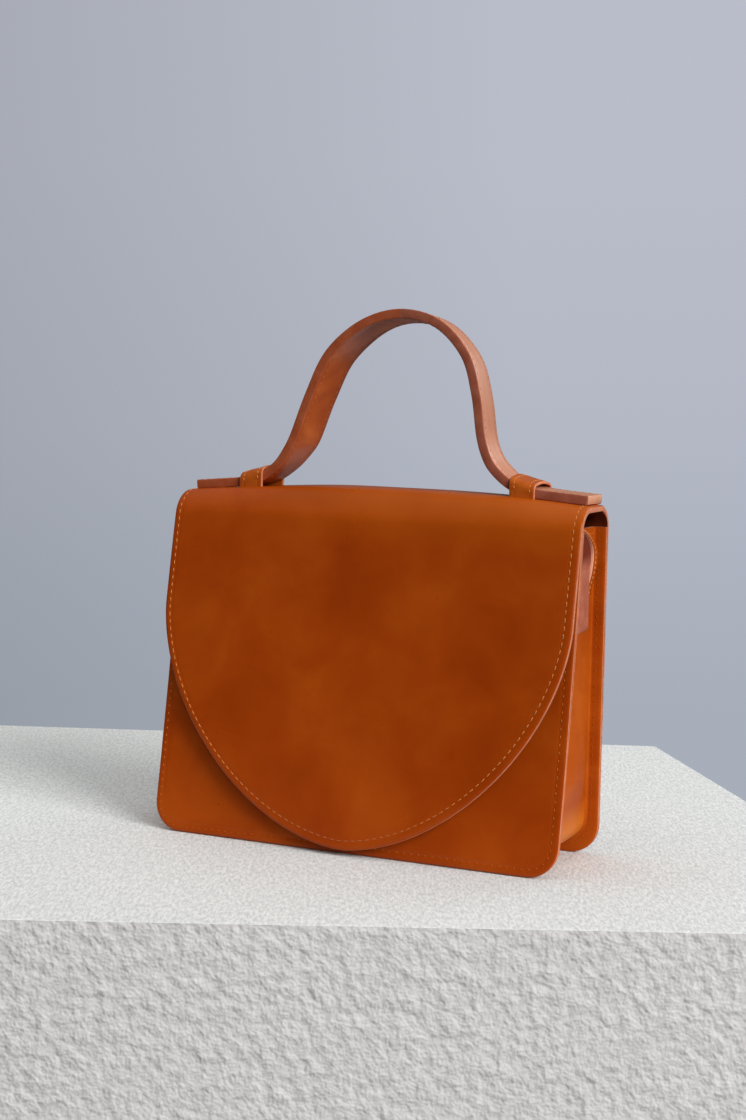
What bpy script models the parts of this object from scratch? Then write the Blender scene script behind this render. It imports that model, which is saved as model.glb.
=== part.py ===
"""Mini briefcase bag: a wrapped sheet with a half-round flap, a front panel, a gusset and a strap handle.
Metres, +Z up, the flap towards -Y. The origin is under the middle of the bag, on the surface it stands on."""

import math

import bmesh
import bpy
from mathutils import Matrix, Vector

MM = 0.001

# Leather and gaps
LEATHER = 1.8 * MM  # panels, flap and top band
LINING = 1.1 * MM
GUSSET_LEATHER = 1.6 * MM
TAB_LEATHER = 1.2 * MM
KEEPER_LEATHER = 1.4 * MM
SEAM_GAP = 0.3 * MM  # between pieces that touch, and across a fold where one body ends
OVERRUN = 12 * MM  # how far a cutter, or a strap to be trimmed, runs past the cut

# Body
BODY_WIDTH = 224 * MM
OVERALL_DEPTH = 71.6 * MM  # from the rear panel to the flap's tip
TIP_REACH = 6.2 * MM  # how far the flap's tip stands in front of the front panel's foot
BODY_DEPTH = OVERALL_DEPTH - TIP_REACH  # at the base, over both panels
PANEL_HEIGHT = 166 * MM
CORNER_RADIUS = 15 * MM
FRONT_FOOT = 0.4 * MM  # the leaning front panel starts this high, so that its rear side clears the surface
TOP_CLEARANCE = 4.5 * MM  # from the front fold's foremost point back to the front panel's top
BOW_CLEARANCE = 12.32 * MM  # between the points that draw the flap and the front panel into their bows
FRONT_BOW_SHARE = 0.506  # of the panels' height, where the front panel's point is

# Top and folds
CROWN_STAND = 11.4 * MM  # how far the top band stands above the panels at the bag's two ends
CROWN_RISE = 4.8 * MM  # how much higher the top band stands in the middle
CROWN_FLAT = 18.3 * MM  # between the two folds
REAR_FOLD_RADIUS = 12 * MM
FRONT_FOLD_RADIUS = 15 * MM
REAR_HINGE_TURN = math.radians(20)  # how far round the rear fold the top band starts
FRONT_HINGE_TURN = math.radians(60)  # how far round the front fold the flap starts

# Flap
FLAP_OVERHANG = 0.9 * MM  # how far the flap reaches past the body at each side
FLAP_WIDTH = BODY_WIDTH + 2 * FLAP_OVERHANG
FLAP_LEAN = math.radians(11.8)  # off the vertical, just under the fold
FLAP_TIP_HEIGHT = 3.1 * MM
FLAP_ROUND_LENGTH = 118.3 * MM  # of the rounded lower part, along the flap
FLAP_ROUNDNESS = 1.75  # 2 is an ellipse, less draws its lower sides in
FLAP_BOW_SHARE = 0.5084  # of the panels' height, where the flap's point is

# Gusset
FLANGE = 8 * MM  # the borders turned outwards and sewn to the panels
GUSSET_FOLD_RADIUS = 2.4 * MM
TAB_TOP_INSET = 2.5 * MM  # from the gusset's top down to the tab's
TAB_CURVE_RISE = 17.5 * MM  # of the curved stretch of the rear border
TAB_STRAIGHT_LENGTH = 33 * MM  # of the straight stretch under it
TAB_REAR_INSET = 13.2 * MM  # from the rear panel's outer face to the tab's rear border
TAB_BULGE = 3.4 * MM  # how far the border swings to the rear in its upper part
TAB_FLARE = 1.2 * MM  # how far the upper part stands out from the gusset
TAB_NARROWING_SHARE = 0.93  # how much of its reach, squared, the tab loses up to its top

# Strap handle
STRAP_WIDTH = 22 * MM
STRAP_LAYER = 2.45 * MM  # the strap is two layers
STRAP_EDGE = 0.5 * MM
STRAP_EDGE_ANGLE = math.radians(60)  # edges sharper than this are rounded
STRAP_END_INSET = 2 * MM  # from the body's side to a flat end
STRAP_HALF_LENGTH = BODY_WIDTH / 2 - STRAP_END_INSET
STRAP_REAR_INSET = 6 * MM  # from the rear panel's outer face to the strap's rear edge
HANDLE_RISE = 90 * MM  # of the strap's middle line, from its flat ends to the top of the arch
STRAP_TOE_IN = 2.8 * MM  # how much closer the arch's rear edge is to the middle, halfway up each leg
STRAP_REAR_DROP = 1.8 * MM  # how much lower the arch's rear edge is at its top
TILT_SHARE = 0.5636  # of the half length, where the arch starts to tilt
# The middle line from keeper to keeper over the arch, as shares of the half length and the rise
ARCH_SHARES = (
    (-0.755, 0.026),
    (-0.684, 0.042),
    (-0.627, 0.069),
    (-0.564, 0.124),
    (-0.520, 0.188),
    (-0.471, 0.298),
    (-0.394, 0.536),
    (-0.294, 0.773),
    (-0.125, 0.939),
    (0.068, 1.000),
    (0.254, 0.944),
    (0.392, 0.775),
    (0.449, 0.560),
    (0.479, 0.325),
    (0.516, 0.194),
    (0.564, 0.124),
    (0.627, 0.069),
    (0.684, 0.042),
    (0.755, 0.026),
)

# Keepers
KEEPER_INNER_SHARE = 0.632  # of the strap's half length, where a keeper's inner edge is
KEEPER_WIDTH = 13.4 * MM
KEEPER_INNER_ROOM = 9.9 * MM  # from the top band up to the keeper's inside, at its inner edge
KEEPER_OUTER_ROOM = 7.2 * MM
KEEPER_ROUNDING = 1.3 * MM
KEEPER_FOOT = 6 * MM
KEEPER_SHARE = 0.07  # of the handle's rise, below which the strap is held square by the keepers
TILT_STAND = 14.6 * MM  # from the top band's ends up to the axis that the arch tilts about
TWIST_SHARE = 0.3  # of the handle's rise, over which the arch then turns in
APEX_SHARE = 1 / 3  # of the half length beside the apex, within which the turn changes sides

# Magnetic snap
SNAP_SHARE = 0.217  # of the panels' height, where the snap is
SNAP_RADIUS = 7 * MM
SNAP_RIM = 0.5 * MM
SNAP_STEM_RADIUS = 2 * MM
SOCKET_THICKNESS = 2.4 * MM
SOCKET_BORE_RADIUS = 3.4 * MM
SOCKET_BORE_DEPTH = 1.7 * MM
STUD_THICKNESS = 1.4 * MM
STUD_POST_RADIUS = 2.5 * MM
STUD_POST_LENGTH = 1.5 * MM
WASHER_RADIUS = 7.5 * MM
WASHER_THICKNESS = 0.6 * MM

# Places that follow from the sizes
BACK_Y = OVERALL_DEPTH / 2
CROWN_HEIGHT = PANEL_HEIGHT + CROWN_STAND
SNAP_HEIGHT = SNAP_SHARE * PANEL_HEIGHT
TAB_TOP = PANEL_HEIGHT - TAB_TOP_INSET
TAB_STRAIGHT_TOP = TAB_TOP - TAB_CURVE_RISE
TAB_BOTTOM = TAB_STRAIGHT_TOP - TAB_STRAIGHT_LENGTH
REAR_FOLD_CENTRE = (BACK_Y - REAR_FOLD_RADIUS, CROWN_HEIGHT - REAR_FOLD_RADIUS)
FRONT_FOLD_CENTRE = (REAR_FOLD_CENTRE[0] - CROWN_FLAT, CROWN_HEIGHT - FRONT_FOLD_RADIUS)
FLAP_START = (
    FRONT_FOLD_CENTRE[0] - FRONT_FOLD_RADIUS * math.cos(FLAP_LEAN),
    FRONT_FOLD_CENTRE[1] + FRONT_FOLD_RADIUS * math.sin(FLAP_LEAN),
)
FLAP_BOW_HEIGHT = FLAP_BOW_SHARE * PANEL_HEIGHT
FLAP_PULL = (FLAP_START[0] - (FLAP_START[1] - FLAP_BOW_HEIGHT) * math.tan(FLAP_LEAN), FLAP_BOW_HEIGHT)
FRONT_PULL = (FLAP_PULL[0] + BOW_CLEARANCE, FRONT_BOW_SHARE * PANEL_HEIGHT)
FRONT_TOP = (FRONT_FOLD_CENTRE[0] - FRONT_FOLD_RADIUS + TOP_CLEARANCE, PANEL_HEIGHT)
LINING_DEPTH = LEATHER + SEAM_GAP  # from the outer face to the lining
UNDERSIDE_DEPTH = LINING_DEPTH + LINING
STRAP_HALF_THICKNESS = STRAP_LAYER + SEAM_GAP / 2
TILT_CUT = TILT_SHARE * STRAP_HALF_LENGTH
KEEPER_INNER = KEEPER_INNER_SHARE * STRAP_HALF_LENGTH
STRAP_Y = BACK_Y - STRAP_REAR_INSET - STRAP_WIDTH / 2
WEB_X = BODY_WIDTH / 2 - FLANGE
FOLD_LIP = 2 * SEAM_GAP  # a narrow row beside each hinge, so that both sides of the cut are square to the fold
WEB_CORNER_RADIUS = CORNER_RADIUS - FLANGE
MERGE = SEAM_GAP / 30
PROBE = SEAM_GAP / 5  # the step in which a normal is measured

# Counts
DENSE = 60  # points that stand for a smooth stretch of a profile
FOLD_STEPS = 5
PANEL_STEPS = 9
FLAP_STRAIGHT_STEPS = 4
FLAP_ROUND_STEPS = 18
CORNER_STEPS = 6
GUSSET_FOLD_STEPS = 3
BAND_COLUMNS = 16
STRAP_STEPS = 3  # between two points of the middle line
KEEPER_TURN_STEPS = 3
TAB_CURVE_STEPS = 8
TURN_STEPS = 36


def clear_scene():
    for obj in list(bpy.data.objects):
        bpy.data.objects.remove(obj, do_unlink=True)


def new_collection(name):
    made = bpy.data.collections.new(name)
    bpy.context.scene.collection.children.link(made)
    return made


def material(name, colour, roughness, metallic=0.0):
    made = bpy.data.materials.new(name)
    made.use_nodes = True
    shader = made.node_tree.nodes["Principled BSDF"]
    shader.inputs["Base Color"].default_value = (*colour, 1.0)
    shader.inputs["Roughness"].default_value = roughness
    shader.inputs["Metallic"].default_value = metallic
    made.diffuse_color = (*colour, 1.0)
    return made


def tan_leather(name):
    return material(name, (0.42, 0.11, 0.025), 0.35)


def dark_leather(name):
    return material(name, (0.30, 0.07, 0.018), 0.4)


def flesh_side(name):
    return material(name, (0.52, 0.27, 0.15), 0.8)


def steel(name):
    return material(name, (0.55, 0.53, 0.50), 0.3, 1.0)


def spread(start, end, steps):
    return [start + (end - start) * i / steps for i in range(steps + 1)]


def arc(centre, radius, start, end, steps):
    """Points from angle start to angle end, counted from +Y towards +Z."""
    turns = spread(start, end, steps)
    return [(centre[0] + radius * math.cos(t), centre[1] + radius * math.sin(t)) for t in turns]


def bow(start, pull, end, steps):
    """A quadratic Bezier curve."""
    points = []
    for t in spread(0, 1, steps):
        weights = ((1 - t) ** 2, 2 * t * (1 - t), t * t)
        points.append(tuple(sum(w * p[k] for w, p in zip(weights, (start, pull, end))) for k in (0, 1)))
    return points


def ease(share):
    share = max(0.0, min(1.0, share))
    return share * share * (3 - 2 * share)


class Profile:
    """The side view of a sheet's outer face in the YZ plane, read by its length from the start. side is 1 where
    the inside of the bag lies left of the way along it, seen from +X, and -1 where it lies right."""

    def __init__(self, points, side):
        self.side = side
        self.points = [points[0]]
        for point in points[1:]:
            if math.dist(point, self.points[-1]) > MERGE:
                self.points.append(point)
        self.lengths = [0.0]
        for a, b in zip(self.points, self.points[1:]):
            self.lengths.append(self.lengths[-1] + math.dist(a, b))
        self.total = self.lengths[-1]

    def at(self, length):
        index = 0
        while index < len(self.points) - 2 and self.lengths[index + 1] < length:
            index += 1
        a, b = self.points[index], self.points[index + 1]
        share = (length - self.lengths[index]) / (self.lengths[index + 1] - self.lengths[index])
        return (a[0] + (b[0] - a[0]) * share, a[1] + (b[1] - a[1]) * share)

    def nearest(self, point):
        """The length at which the profile passes a point that it was made from."""
        index = min(range(len(self.points)), key=lambda i: math.dist(self.points[i], point))
        return self.lengths[index]

    def surface(self, x, length, depth, lift):
        """The point this far under the outer face, which lift raises above the profile."""

        def outer(px, pl):
            y, z = self.at(pl)
            return Vector((px, y, z + lift(px, pl)))

        if not depth:
            return outer(x, length)
        across = outer(x + PROBE, length) - outer(x - PROBE, length)
        along = outer(x, length + PROBE) - outer(x, length - PROBE)
        return outer(x, length) + across.cross(along).normalized() * depth * self.side


def level(x, length):
    """No lift."""
    return 0.0


def wrap_profile():
    """The outer face of the one sheet: up the back, over the top and down the front to the flap's tip."""
    turn = math.pi / 2 + FRONT_HINGE_TURN
    rear = arc(REAR_FOLD_CENTRE, REAR_FOLD_RADIUS, 0, REAR_HINGE_TURN, DENSE)
    rear += arc(REAR_FOLD_CENTRE, REAR_FOLD_RADIUS, REAR_HINGE_TURN, math.pi / 2, DENSE)
    front = arc(FRONT_FOLD_CENTRE, FRONT_FOLD_RADIUS, math.pi / 2, turn, DENSE)
    front += arc(FRONT_FOLD_CENTRE, FRONT_FOLD_RADIUS, turn, math.pi - FLAP_LEAN, DENSE)
    flap = bow(FLAP_START, FLAP_PULL, (-OVERALL_DEPTH / 2, FLAP_TIP_HEIGHT), DENSE)
    return Profile([(BACK_Y, 0.0)] + rear + front + flap, 1)


def front_profile():
    """The front panel's outer face, from the bottom up."""
    return Profile(bow((BACK_Y - BODY_DEPTH, FRONT_FOOT), FRONT_PULL, FRONT_TOP, DENSE), -1)


WRAP = wrap_profile()
FRONT = front_profile()
REAR_HINGE = arc(REAR_FOLD_CENTRE, REAR_FOLD_RADIUS, 0, REAR_HINGE_TURN, 1)[-1]
FRONT_HINGE = arc(FRONT_FOLD_CENTRE, FRONT_FOLD_RADIUS, 0, math.pi / 2 + FRONT_HINGE_TURN, 1)[-1]
REAR_FOLD_START = WRAP.nearest((BACK_Y, REAR_FOLD_CENTRE[1]))
REAR_CUT = WRAP.nearest(REAR_HINGE)
REAR_FOLD_END = WRAP.nearest((REAR_FOLD_CENTRE[0], CROWN_HEIGHT))
FRONT_FOLD_START = WRAP.nearest((FRONT_FOLD_CENTRE[0], CROWN_HEIGHT))
FRONT_CUT = WRAP.nearest(FRONT_HINGE)
FRONT_FOLD_END = FRONT_FOLD_START + FRONT_FOLD_RADIUS * (math.pi / 2 - FLAP_LEAN)
FLAP_ROUND_START = WRAP.total - FLAP_ROUND_LENGTH


def dome(x):
    return CROWN_RISE * (1 - (2 * x / BODY_WIDTH) ** 2)


def crown_lift(x, length):
    """How far the top band stands above its ends: most in the middle, nothing where it folds down."""
    rising = ease((length - REAR_CUT) / (REAR_FOLD_END - REAR_CUT))
    falling = ease((FRONT_CUT - length) / (FRONT_CUT - FRONT_FOLD_START))
    return max(0.0, dome(x)) * min(rising, falling)


def skin(name, columns, rows, place, thickness, flip, collection, look):
    """A grid of columns by rows faces that place() puts in space, thickened towards its normals."""
    mesh = bpy.data.meshes.new(name)
    bm = bmesh.new()
    bmesh.ops.create_grid(bm, x_segments=columns, y_segments=rows, size=1.0)
    for vert in bm.verts:
        vert.co = place(round((vert.co.x + 1) / 2 * columns), round((vert.co.y + 1) / 2 * rows))
    bmesh.ops.remove_doubles(bm, verts=bm.verts, dist=MERGE)
    if flip:
        bmesh.ops.reverse_faces(bm, faces=bm.faces)
    bm.to_mesh(mesh)
    bm.free()
    obj = bpy.data.objects.new(name, mesh)
    collection.objects.link(obj)
    mesh.materials.append(look)
    shell = obj.modifiers.new("Thickness", "SOLIDIFY")
    shell.thickness = thickness
    shell.offset = 1.0
    shell.use_even_offset = True
    return obj


def sheet(name, profile, lengths, half_width, depth, thickness, collection, look, columns=1, lift=level):
    """A sheet that follows a profile, with its half width given by its length along it."""

    def place(column, row):
        x = half_width(lengths[row]) * (2 * column / columns - 1)
        return profile.surface(x, lengths[row], depth, lift)

    return skin(name, columns, len(lengths) - 1, place, thickness, profile.side < 0, collection, look)


def cutter_box(name, low, high, collection):
    mesh = bpy.data.meshes.new(name)
    bm = bmesh.new()
    bmesh.ops.create_cube(bm, size=1.0)
    for vert in bm.verts:
        vert.co = Vector([low[k] if vert.co[k] < 0 else high[k] for k in (0, 1, 2)])
    bm.to_mesh(mesh)
    bm.free()
    return hide_cutter(bpy.data.objects.new(name, mesh), collection)


def cutter_rod(name, radius, centre, turn, collection):
    mesh = bpy.data.meshes.new(name)
    bm = bmesh.new()
    bmesh.ops.create_cone(
        bm, cap_ends=True, segments=TURN_STEPS, radius1=radius, radius2=radius, depth=OVERRUN / 2
    )
    bmesh.ops.transform(bm, matrix=Matrix.Translation(centre) @ Matrix.Rotation(turn, 4, "X"), verts=bm.verts)
    bm.to_mesh(mesh)
    bm.free()
    return hide_cutter(bpy.data.objects.new(name, mesh), collection)


def hide_cutter(obj, collection):
    collection.objects.link(obj)
    obj.hide_render = True
    obj.display_type = "WIRE"
    return obj


def cut(obj, tool):
    step = obj.modifiers.new("Cut by " + tool.name, "BOOLEAN")
    step.operation = "DIFFERENCE"
    step.solver = "EXACT"
    step.object = tool


def turned(name, half_section, place, turn, collection, look, flip=False):
    """A round piece from a half section of (radius, height) points, standing on its own Z."""
    mesh = bpy.data.meshes.new(name)
    edges = [(i, i + 1) for i in range(len(half_section) - 1)]
    mesh.from_pydata([(radius, 0.0, height) for radius, height in half_section], edges, [])
    obj = bpy.data.objects.new(name, mesh)
    collection.objects.link(obj)
    mesh.materials.append(look)
    screw = obj.modifiers.new("Turn", "SCREW")
    screw.steps = TURN_STEPS
    screw.render_steps = TURN_STEPS
    screw.use_merge_vertices = True
    screw.merge_threshold = MERGE
    screw.use_normal_calculate = True
    screw.use_normal_flip = flip
    obj.location = place
    obj.rotation_euler = (turn, 0.0, 0.0)
    return obj


def corner_rows():
    """Lengths up through a panel's round corners, close together where the outline turns fastest."""
    return [CORNER_RADIUS * (1 - math.cos(t)) for t in spread(0, math.pi / 2, CORNER_STEPS)]


def panel_half_width(length):
    below = max(0.0, CORNER_RADIUS - length)
    return BODY_WIDTH / 2 - CORNER_RADIUS + math.sqrt(CORNER_RADIUS**2 - below**2)


def band_half_width(length):
    """The top band widens from the panels to the flap."""
    share = (length - REAR_CUT) / (FRONT_CUT - REAR_CUT)
    return (BODY_WIDTH + (FLAP_WIDTH - BODY_WIDTH) * share) / 2


def flap_half_width(length):
    beyond = min(1.0, max(0.0, (length - FLAP_ROUND_START) / FLAP_ROUND_LENGTH))
    return FLAP_WIDTH / 2 * (1 - beyond**FLAP_ROUNDNESS) ** (1 / FLAP_ROUNDNESS)


def make_back(parts):
    rows = corner_rows() + spread(REAR_FOLD_START, REAR_CUT - FOLD_LIP, FOLD_STEPS // 2)
    rows.append(REAR_CUT - SEAM_GAP / 2)
    sheet("back_panel", WRAP, rows, panel_half_width, 0.0, LEATHER, parts, tan_leather("back_panel"))


def make_front(parts):
    rows = corner_rows() + spread(CORNER_RADIUS, FRONT.total, PANEL_STEPS)[1:]
    look = tan_leather("front_panel")
    return sheet("front_panel", FRONT, rows, panel_half_width, 0.0, LEATHER, parts, look)


def make_band(parts):
    rear = [REAR_CUT + SEAM_GAP / 2] + spread(REAR_CUT + FOLD_LIP, REAR_FOLD_END, FOLD_STEPS)
    crown = spread(REAR_FOLD_END, FRONT_FOLD_START, 2)
    front = spread(FRONT_FOLD_START, FRONT_CUT - FOLD_LIP, FOLD_STEPS) + [FRONT_CUT - SEAM_GAP / 2]
    rows = rear + crown[1:] + front[1:]
    return [
        sheet(name, WRAP, rows, band_half_width, depth, thickness, parts, look, BAND_COLUMNS, crown_lift)
        for name, depth, thickness, look in (
            ("top_band", 0.0, LEATHER, tan_leather("top_band")),
            ("top_band_lining", LINING_DEPTH, LINING, flesh_side("top_band_lining")),
        )
    ]


def make_flap(parts):
    fold = [FRONT_CUT + SEAM_GAP / 2] + spread(FRONT_CUT + FOLD_LIP, FRONT_FOLD_END, FOLD_STEPS // 2)
    straight = spread(FRONT_FOLD_END, FLAP_ROUND_START, FLAP_STRAIGHT_STEPS)
    turns = spread(0, math.pi / 2, FLAP_ROUND_STEPS)
    rounded = [FLAP_ROUND_START + FLAP_ROUND_LENGTH * math.sin(t) ** (2 / FLAP_ROUNDNESS) for t in turns]
    rows = fold + straight[1:] + rounded[1:]
    return [
        sheet(name, WRAP, rows, flap_half_width, depth, thickness, parts, look)
        for name, depth, thickness, look in (
            ("flap_outer", 0.0, LEATHER, tan_leather("flap_outer")),
            ("flap_lining", LINING_DEPTH, LINING, flesh_side("flap_lining")),
        )
    ]


def panel_rear(height):
    """Where the front panel's rear side is at a height."""
    low, high = 0.0, FRONT.total
    for _ in range(DENSE // 2):
        middle = (low + high) / 2
        if FRONT.surface(0.0, middle, LEATHER, level).z < height:
            low = middle
        else:
            high = middle
    return FRONT.surface(0.0, (low + high) / 2, LEATHER, level).y


def gusset_path():
    """Stations round the U of the gusset's web: its place and the way out from the bag, in the XZ plane."""
    centre_x = WEB_X - WEB_CORNER_RADIUS
    centre_z = FLANGE + WEB_CORNER_RADIUS
    right = []
    for turn in spread(-math.pi / 2, 0, CORNER_STEPS):
        out = (math.cos(turn), math.sin(turn))
        right.append(((centre_x + WEB_CORNER_RADIUS * out[0], centre_z + WEB_CORNER_RADIUS * out[1]), out))
    right += [((WEB_X, z), (1.0, 0.0)) for z in spread(centre_z, PANEL_HEIGHT, PANEL_STEPS)[1:]]
    left = [((-x, z), (-out_x, out_z)) for (x, z), (out_x, out_z) in reversed(right)]
    return left + right


def make_gusset(parts):
    """The section runs from the front border over its fold, the web and the rear fold to the rear border."""
    stations = gusset_path()
    radius = GUSSET_FOLD_RADIUS
    turns = spread(0, math.pi / 2, GUSSET_FOLD_STEPS)
    fold = [(radius * (1 - math.sin(t)), radius * (1 - math.cos(t))) for t in turns]
    section = [(FLANGE, 0.0, -1)] + [(out, inward, -1) for out, inward in fold]
    section += [(out, inward, 1) for out, inward in reversed(fold)] + [(FLANGE, 0.0, 1)]
    rear_y = BACK_Y - LEATHER - SEAM_GAP

    def place(column, row):
        (x, z), (out_x, out_z) = stations[row]
        out, inward, end = section[column]
        height = z + out_z * out
        if end > 0:
            return Vector((x + out_x * out, rear_y - inward, height))
        height = max(height, 2 * FRONT_FOOT)
        return Vector((x + out_x * out, panel_rear(height) + SEAM_GAP + inward, height))

    look = tan_leather("gusset")
    return skin("gusset", len(section) - 1, len(stations) - 1, place, GUSSET_LEATHER, False, parts, look)


def make_tab(name, side, parts):
    """A stay outside a gusset wall, whose rear border bulges and curves forward to the panel's corner."""
    heights = spread(TAB_BOTTOM, TAB_STRAIGHT_TOP, 2)
    turns = spread(0, math.pi / 2, TAB_CURVE_STEPS)
    heights += [TAB_STRAIGHT_TOP + (TAB_TOP - TAB_STRAIGHT_TOP) * math.sin(t) for t in turns][1:]
    rear_y = BACK_Y - TAB_REAR_INSET

    def place(column, row):
        height = heights[row]
        share = max(0.0, (height - TAB_STRAIGHT_TOP) / (TAB_TOP - TAB_STRAIGHT_TOP))
        front_y = panel_rear(height) + 2 * SEAM_GAP + GUSSET_FOLD_RADIUS
        reach = (rear_y - front_y) * math.sqrt(1 - TAB_NARROWING_SHARE * share**2)
        reach += TAB_BULGE * math.sin(math.pi * share)
        x = WEB_X + GUSSET_LEATHER + SEAM_GAP + TAB_FLARE * ease(2 * share)
        return Vector((side * x, front_y + reach * column, height))

    return skin(name, 1, len(heights) - 1, place, TAB_LEATHER, side < 0, parts, tan_leather(name))


def strap_line():
    """The strap's middle line in the XZ plane: flat on the top band, through the keepers and over the arch."""
    foot = CROWN_HEIGHT + dome(STRAP_HALF_LENGTH) + SEAM_GAP + STRAP_HALF_THICKNESS
    points = [(share * STRAP_HALF_LENGTH, foot + rise * HANDLE_RISE) for share, rise in ARCH_SHARES]
    flat = []
    for x in spread(STRAP_HALF_LENGTH, points[-1][0], 3)[:-1]:
        flat.append((x, CROWN_HEIGHT + dome(x) + SEAM_GAP + STRAP_HALF_THICKNESS))
    points = [(-x, z) for x, z in flat] + points + flat[::-1]
    line = []
    for i in range(len(points) - 1):
        p = [points[max(0, min(len(points) - 1, i + k))] for k in (-1, 0, 1, 2)]
        for t in spread(0, 1, STRAP_STEPS)[:-1]:
            line.append(tuple(catmull(t, [q[k] for q in p]) for k in (0, 1)))
    return line + [points[-1]]


def catmull(t, p):
    """A Catmull-Rom curve through four values, between the second and the third."""
    bends = (2 * p[1], p[2] - p[0], 2 * p[0] - 5 * p[1] + 4 * p[2] - p[3], 3 * (p[1] - p[2]) + p[3] - p[0])
    return (bends[0] + bends[1] * t + bends[2] * t * t + bends[3] * t**3) / 2


def rear_edge_shift(x, z):
    """How far the strap's rear edge lies from its front edge in X and Z: its legs turn in and its top tips."""
    feet = CROWN_HEIGHT + SEAM_GAP + STRAP_HALF_THICKNESS
    apex = max(ARCH_SHARES, key=lambda point: point[1])[0] * STRAP_HALF_LENGTH
    height = (z - feet) / HANDLE_RISE
    aside = (x - apex) / STRAP_HALF_LENGTH
    turn_in = STRAP_TOE_IN * ease(abs(aside) / APEX_SHARE) * ease((height - KEEPER_SHARE) / TWIST_SHARE)
    return math.copysign(turn_in, -aside), -STRAP_REAR_DROP * ease(height)


def strap_piece(name, line, offset, thickness, parts, look):
    """A length of strap whose lower face lies this far above the middle line."""

    def place(column, row):
        a, b = line[max(0, row - 1)], line[min(len(line) - 1, row + 1)]
        run = math.dist(a, b)
        x = line[row][0] - (b[1] - a[1]) / run * offset
        z = line[row][1] + (b[0] - a[0]) / run * offset
        shift = rear_edge_shift(*line[row])
        return Vector((x + column * shift[0], STRAP_Y + STRAP_WIDTH * (column - 0.5), z + column * shift[1]))

    obj = skin(name, 1, len(line) - 1, place, thickness, True, parts, look)
    edges = obj.modifiers.new("Edges", "BEVEL")
    edges.width = STRAP_EDGE
    edges.segments = 2
    edges.limit_method = "ANGLE"
    edges.angle_limit = STRAP_EDGE_ANGLE
    return obj


def make_strap(parts, cutters):
    """The arch's two layers, and the two flat ends."""
    line = strap_line()
    low = (STRAP_Y - STRAP_WIDTH, 0.0)
    high = (STRAP_Y + STRAP_WIDTH, CROWN_HEIGHT + 2 * HANDLE_RISE)
    arch = [p for p in line if abs(p[0]) < TILT_CUT + OVERRUN]
    beyond = {}
    for side, word in ((-1, "left"), (1, "right")):
        edges = sorted((side * (TILT_CUT - SEAM_GAP / 2), side * BODY_WIDTH))
        beyond[side] = cutter_box("beyond_arch_" + word, (edges[0], *low), (edges[1], *high), cutters)
    middle = TILT_CUT + SEAM_GAP / 2
    inside = cutter_box("within_arch", (-middle, *low), (middle, *high), cutters)
    layers = []
    for name, offset in (("handle_outer", SEAM_GAP / 2), ("handle_inner", -STRAP_HALF_THICKNESS)):
        layer = strap_piece(name, arch, offset, STRAP_LAYER, parts, dark_leather(name))
        cut(layer, beyond[-1])
        cut(layer, beyond[1])
        layers.append(layer)
    ends = []
    for side, name in ((-1, "handle_end_left"), (1, "handle_end_right")):
        outside = [p for p in line if side * p[0] > TILT_CUT - OVERRUN]
        thickness = 2 * STRAP_HALF_THICKNESS
        piece = strap_piece(name, outside, -STRAP_HALF_THICKNESS, thickness, parts, dark_leather(name))
        cut(piece, inside)
        ends.append(piece)
    return layers, ends


def underside(x, y):
    """The height of the top band's underside over a point."""
    low, high = REAR_CUT, FRONT_CUT
    for _ in range(DENSE // 2):
        middle = (low + high) / 2
        if WRAP.surface(x, middle, UNDERSIDE_DEPTH, crown_lift).y > y:
            low = middle
        else:
            high = middle
    return WRAP.surface(x, (low + high) / 2, UNDERSIDE_DEPTH, crown_lift).z


def make_keeper(name, side, parts, cutters, bands):
    """A loop over the strap, with its two feet turned in under the top band."""
    front_y = STRAP_Y - STRAP_WIDTH / 2 - SEAM_GAP
    rear_y = STRAP_Y + STRAP_WIDTH / 2 + SEAM_GAP
    r = KEEPER_ROUNDING
    turns = spread(0, math.pi / 2, KEEPER_TURN_STEPS)
    rise = [(r * (1 - math.cos(t)), -r * (1 - math.sin(t))) for t in turns]
    over = [(front_y + y, z) for y, z in rise] + [(rear_y - y, z) for y, z in reversed(rise)]

    def place(column, row):
        x = side * (KEEPER_INNER + KEEPER_WIDTH * column)
        room = KEEPER_OUTER_ROOM if column else KEEPER_INNER_ROOM
        if 2 <= row < 2 + len(over):
            y, z = over[row - 2]
            return Vector((x, y, CROWN_HEIGHT + dome(x) + room + z))
        reach = KEEPER_FOOT if row in (0, len(over) + 3) else 0.0
        y = front_y + reach if row < 2 else rear_y - reach
        deepest = min(underside(x, y), underside(x, front_y if row < 2 else rear_y))
        return Vector((x, y, deepest - SEAM_GAP))

    keeper = skin(name, 1, len(over) + 3, place, KEEPER_LEATHER, side < 0, parts, tan_leather(name))
    xs = sorted((side * (KEEPER_INNER - SEAM_GAP), side * (KEEPER_INNER + KEEPER_WIDTH + SEAM_GAP)))
    for word, inner_y, way in (("front", front_y, -1), ("rear", rear_y, 1)):
        ys = sorted((inner_y - way * SEAM_GAP, inner_y + way * (KEEPER_LEATHER + SEAM_GAP)))
        low = (xs[0], ys[0], PANEL_HEIGHT - OVERRUN)
        high = (xs[1], ys[1], CROWN_HEIGHT + OVERRUN)
        slot = cutter_box(f"slot_{name}_{word}", low, high, cutters)
        for band in bands:
            cut(band, slot)
    return keeper


def snap_half(plate, plate_edge, post, stem_length, stem_radius):
    """The half section of a snap part, from its stem's end on the axis to its top on the axis."""
    edge = [(plate_edge, plate - SNAP_RIM), (plate_edge - SNAP_RIM, plate)]
    stem = [(0.0, -stem_length), (stem_radius, -stem_length), (stem_radius, 0.0), (plate_edge, 0.0)]
    return stem + edge + post


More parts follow.
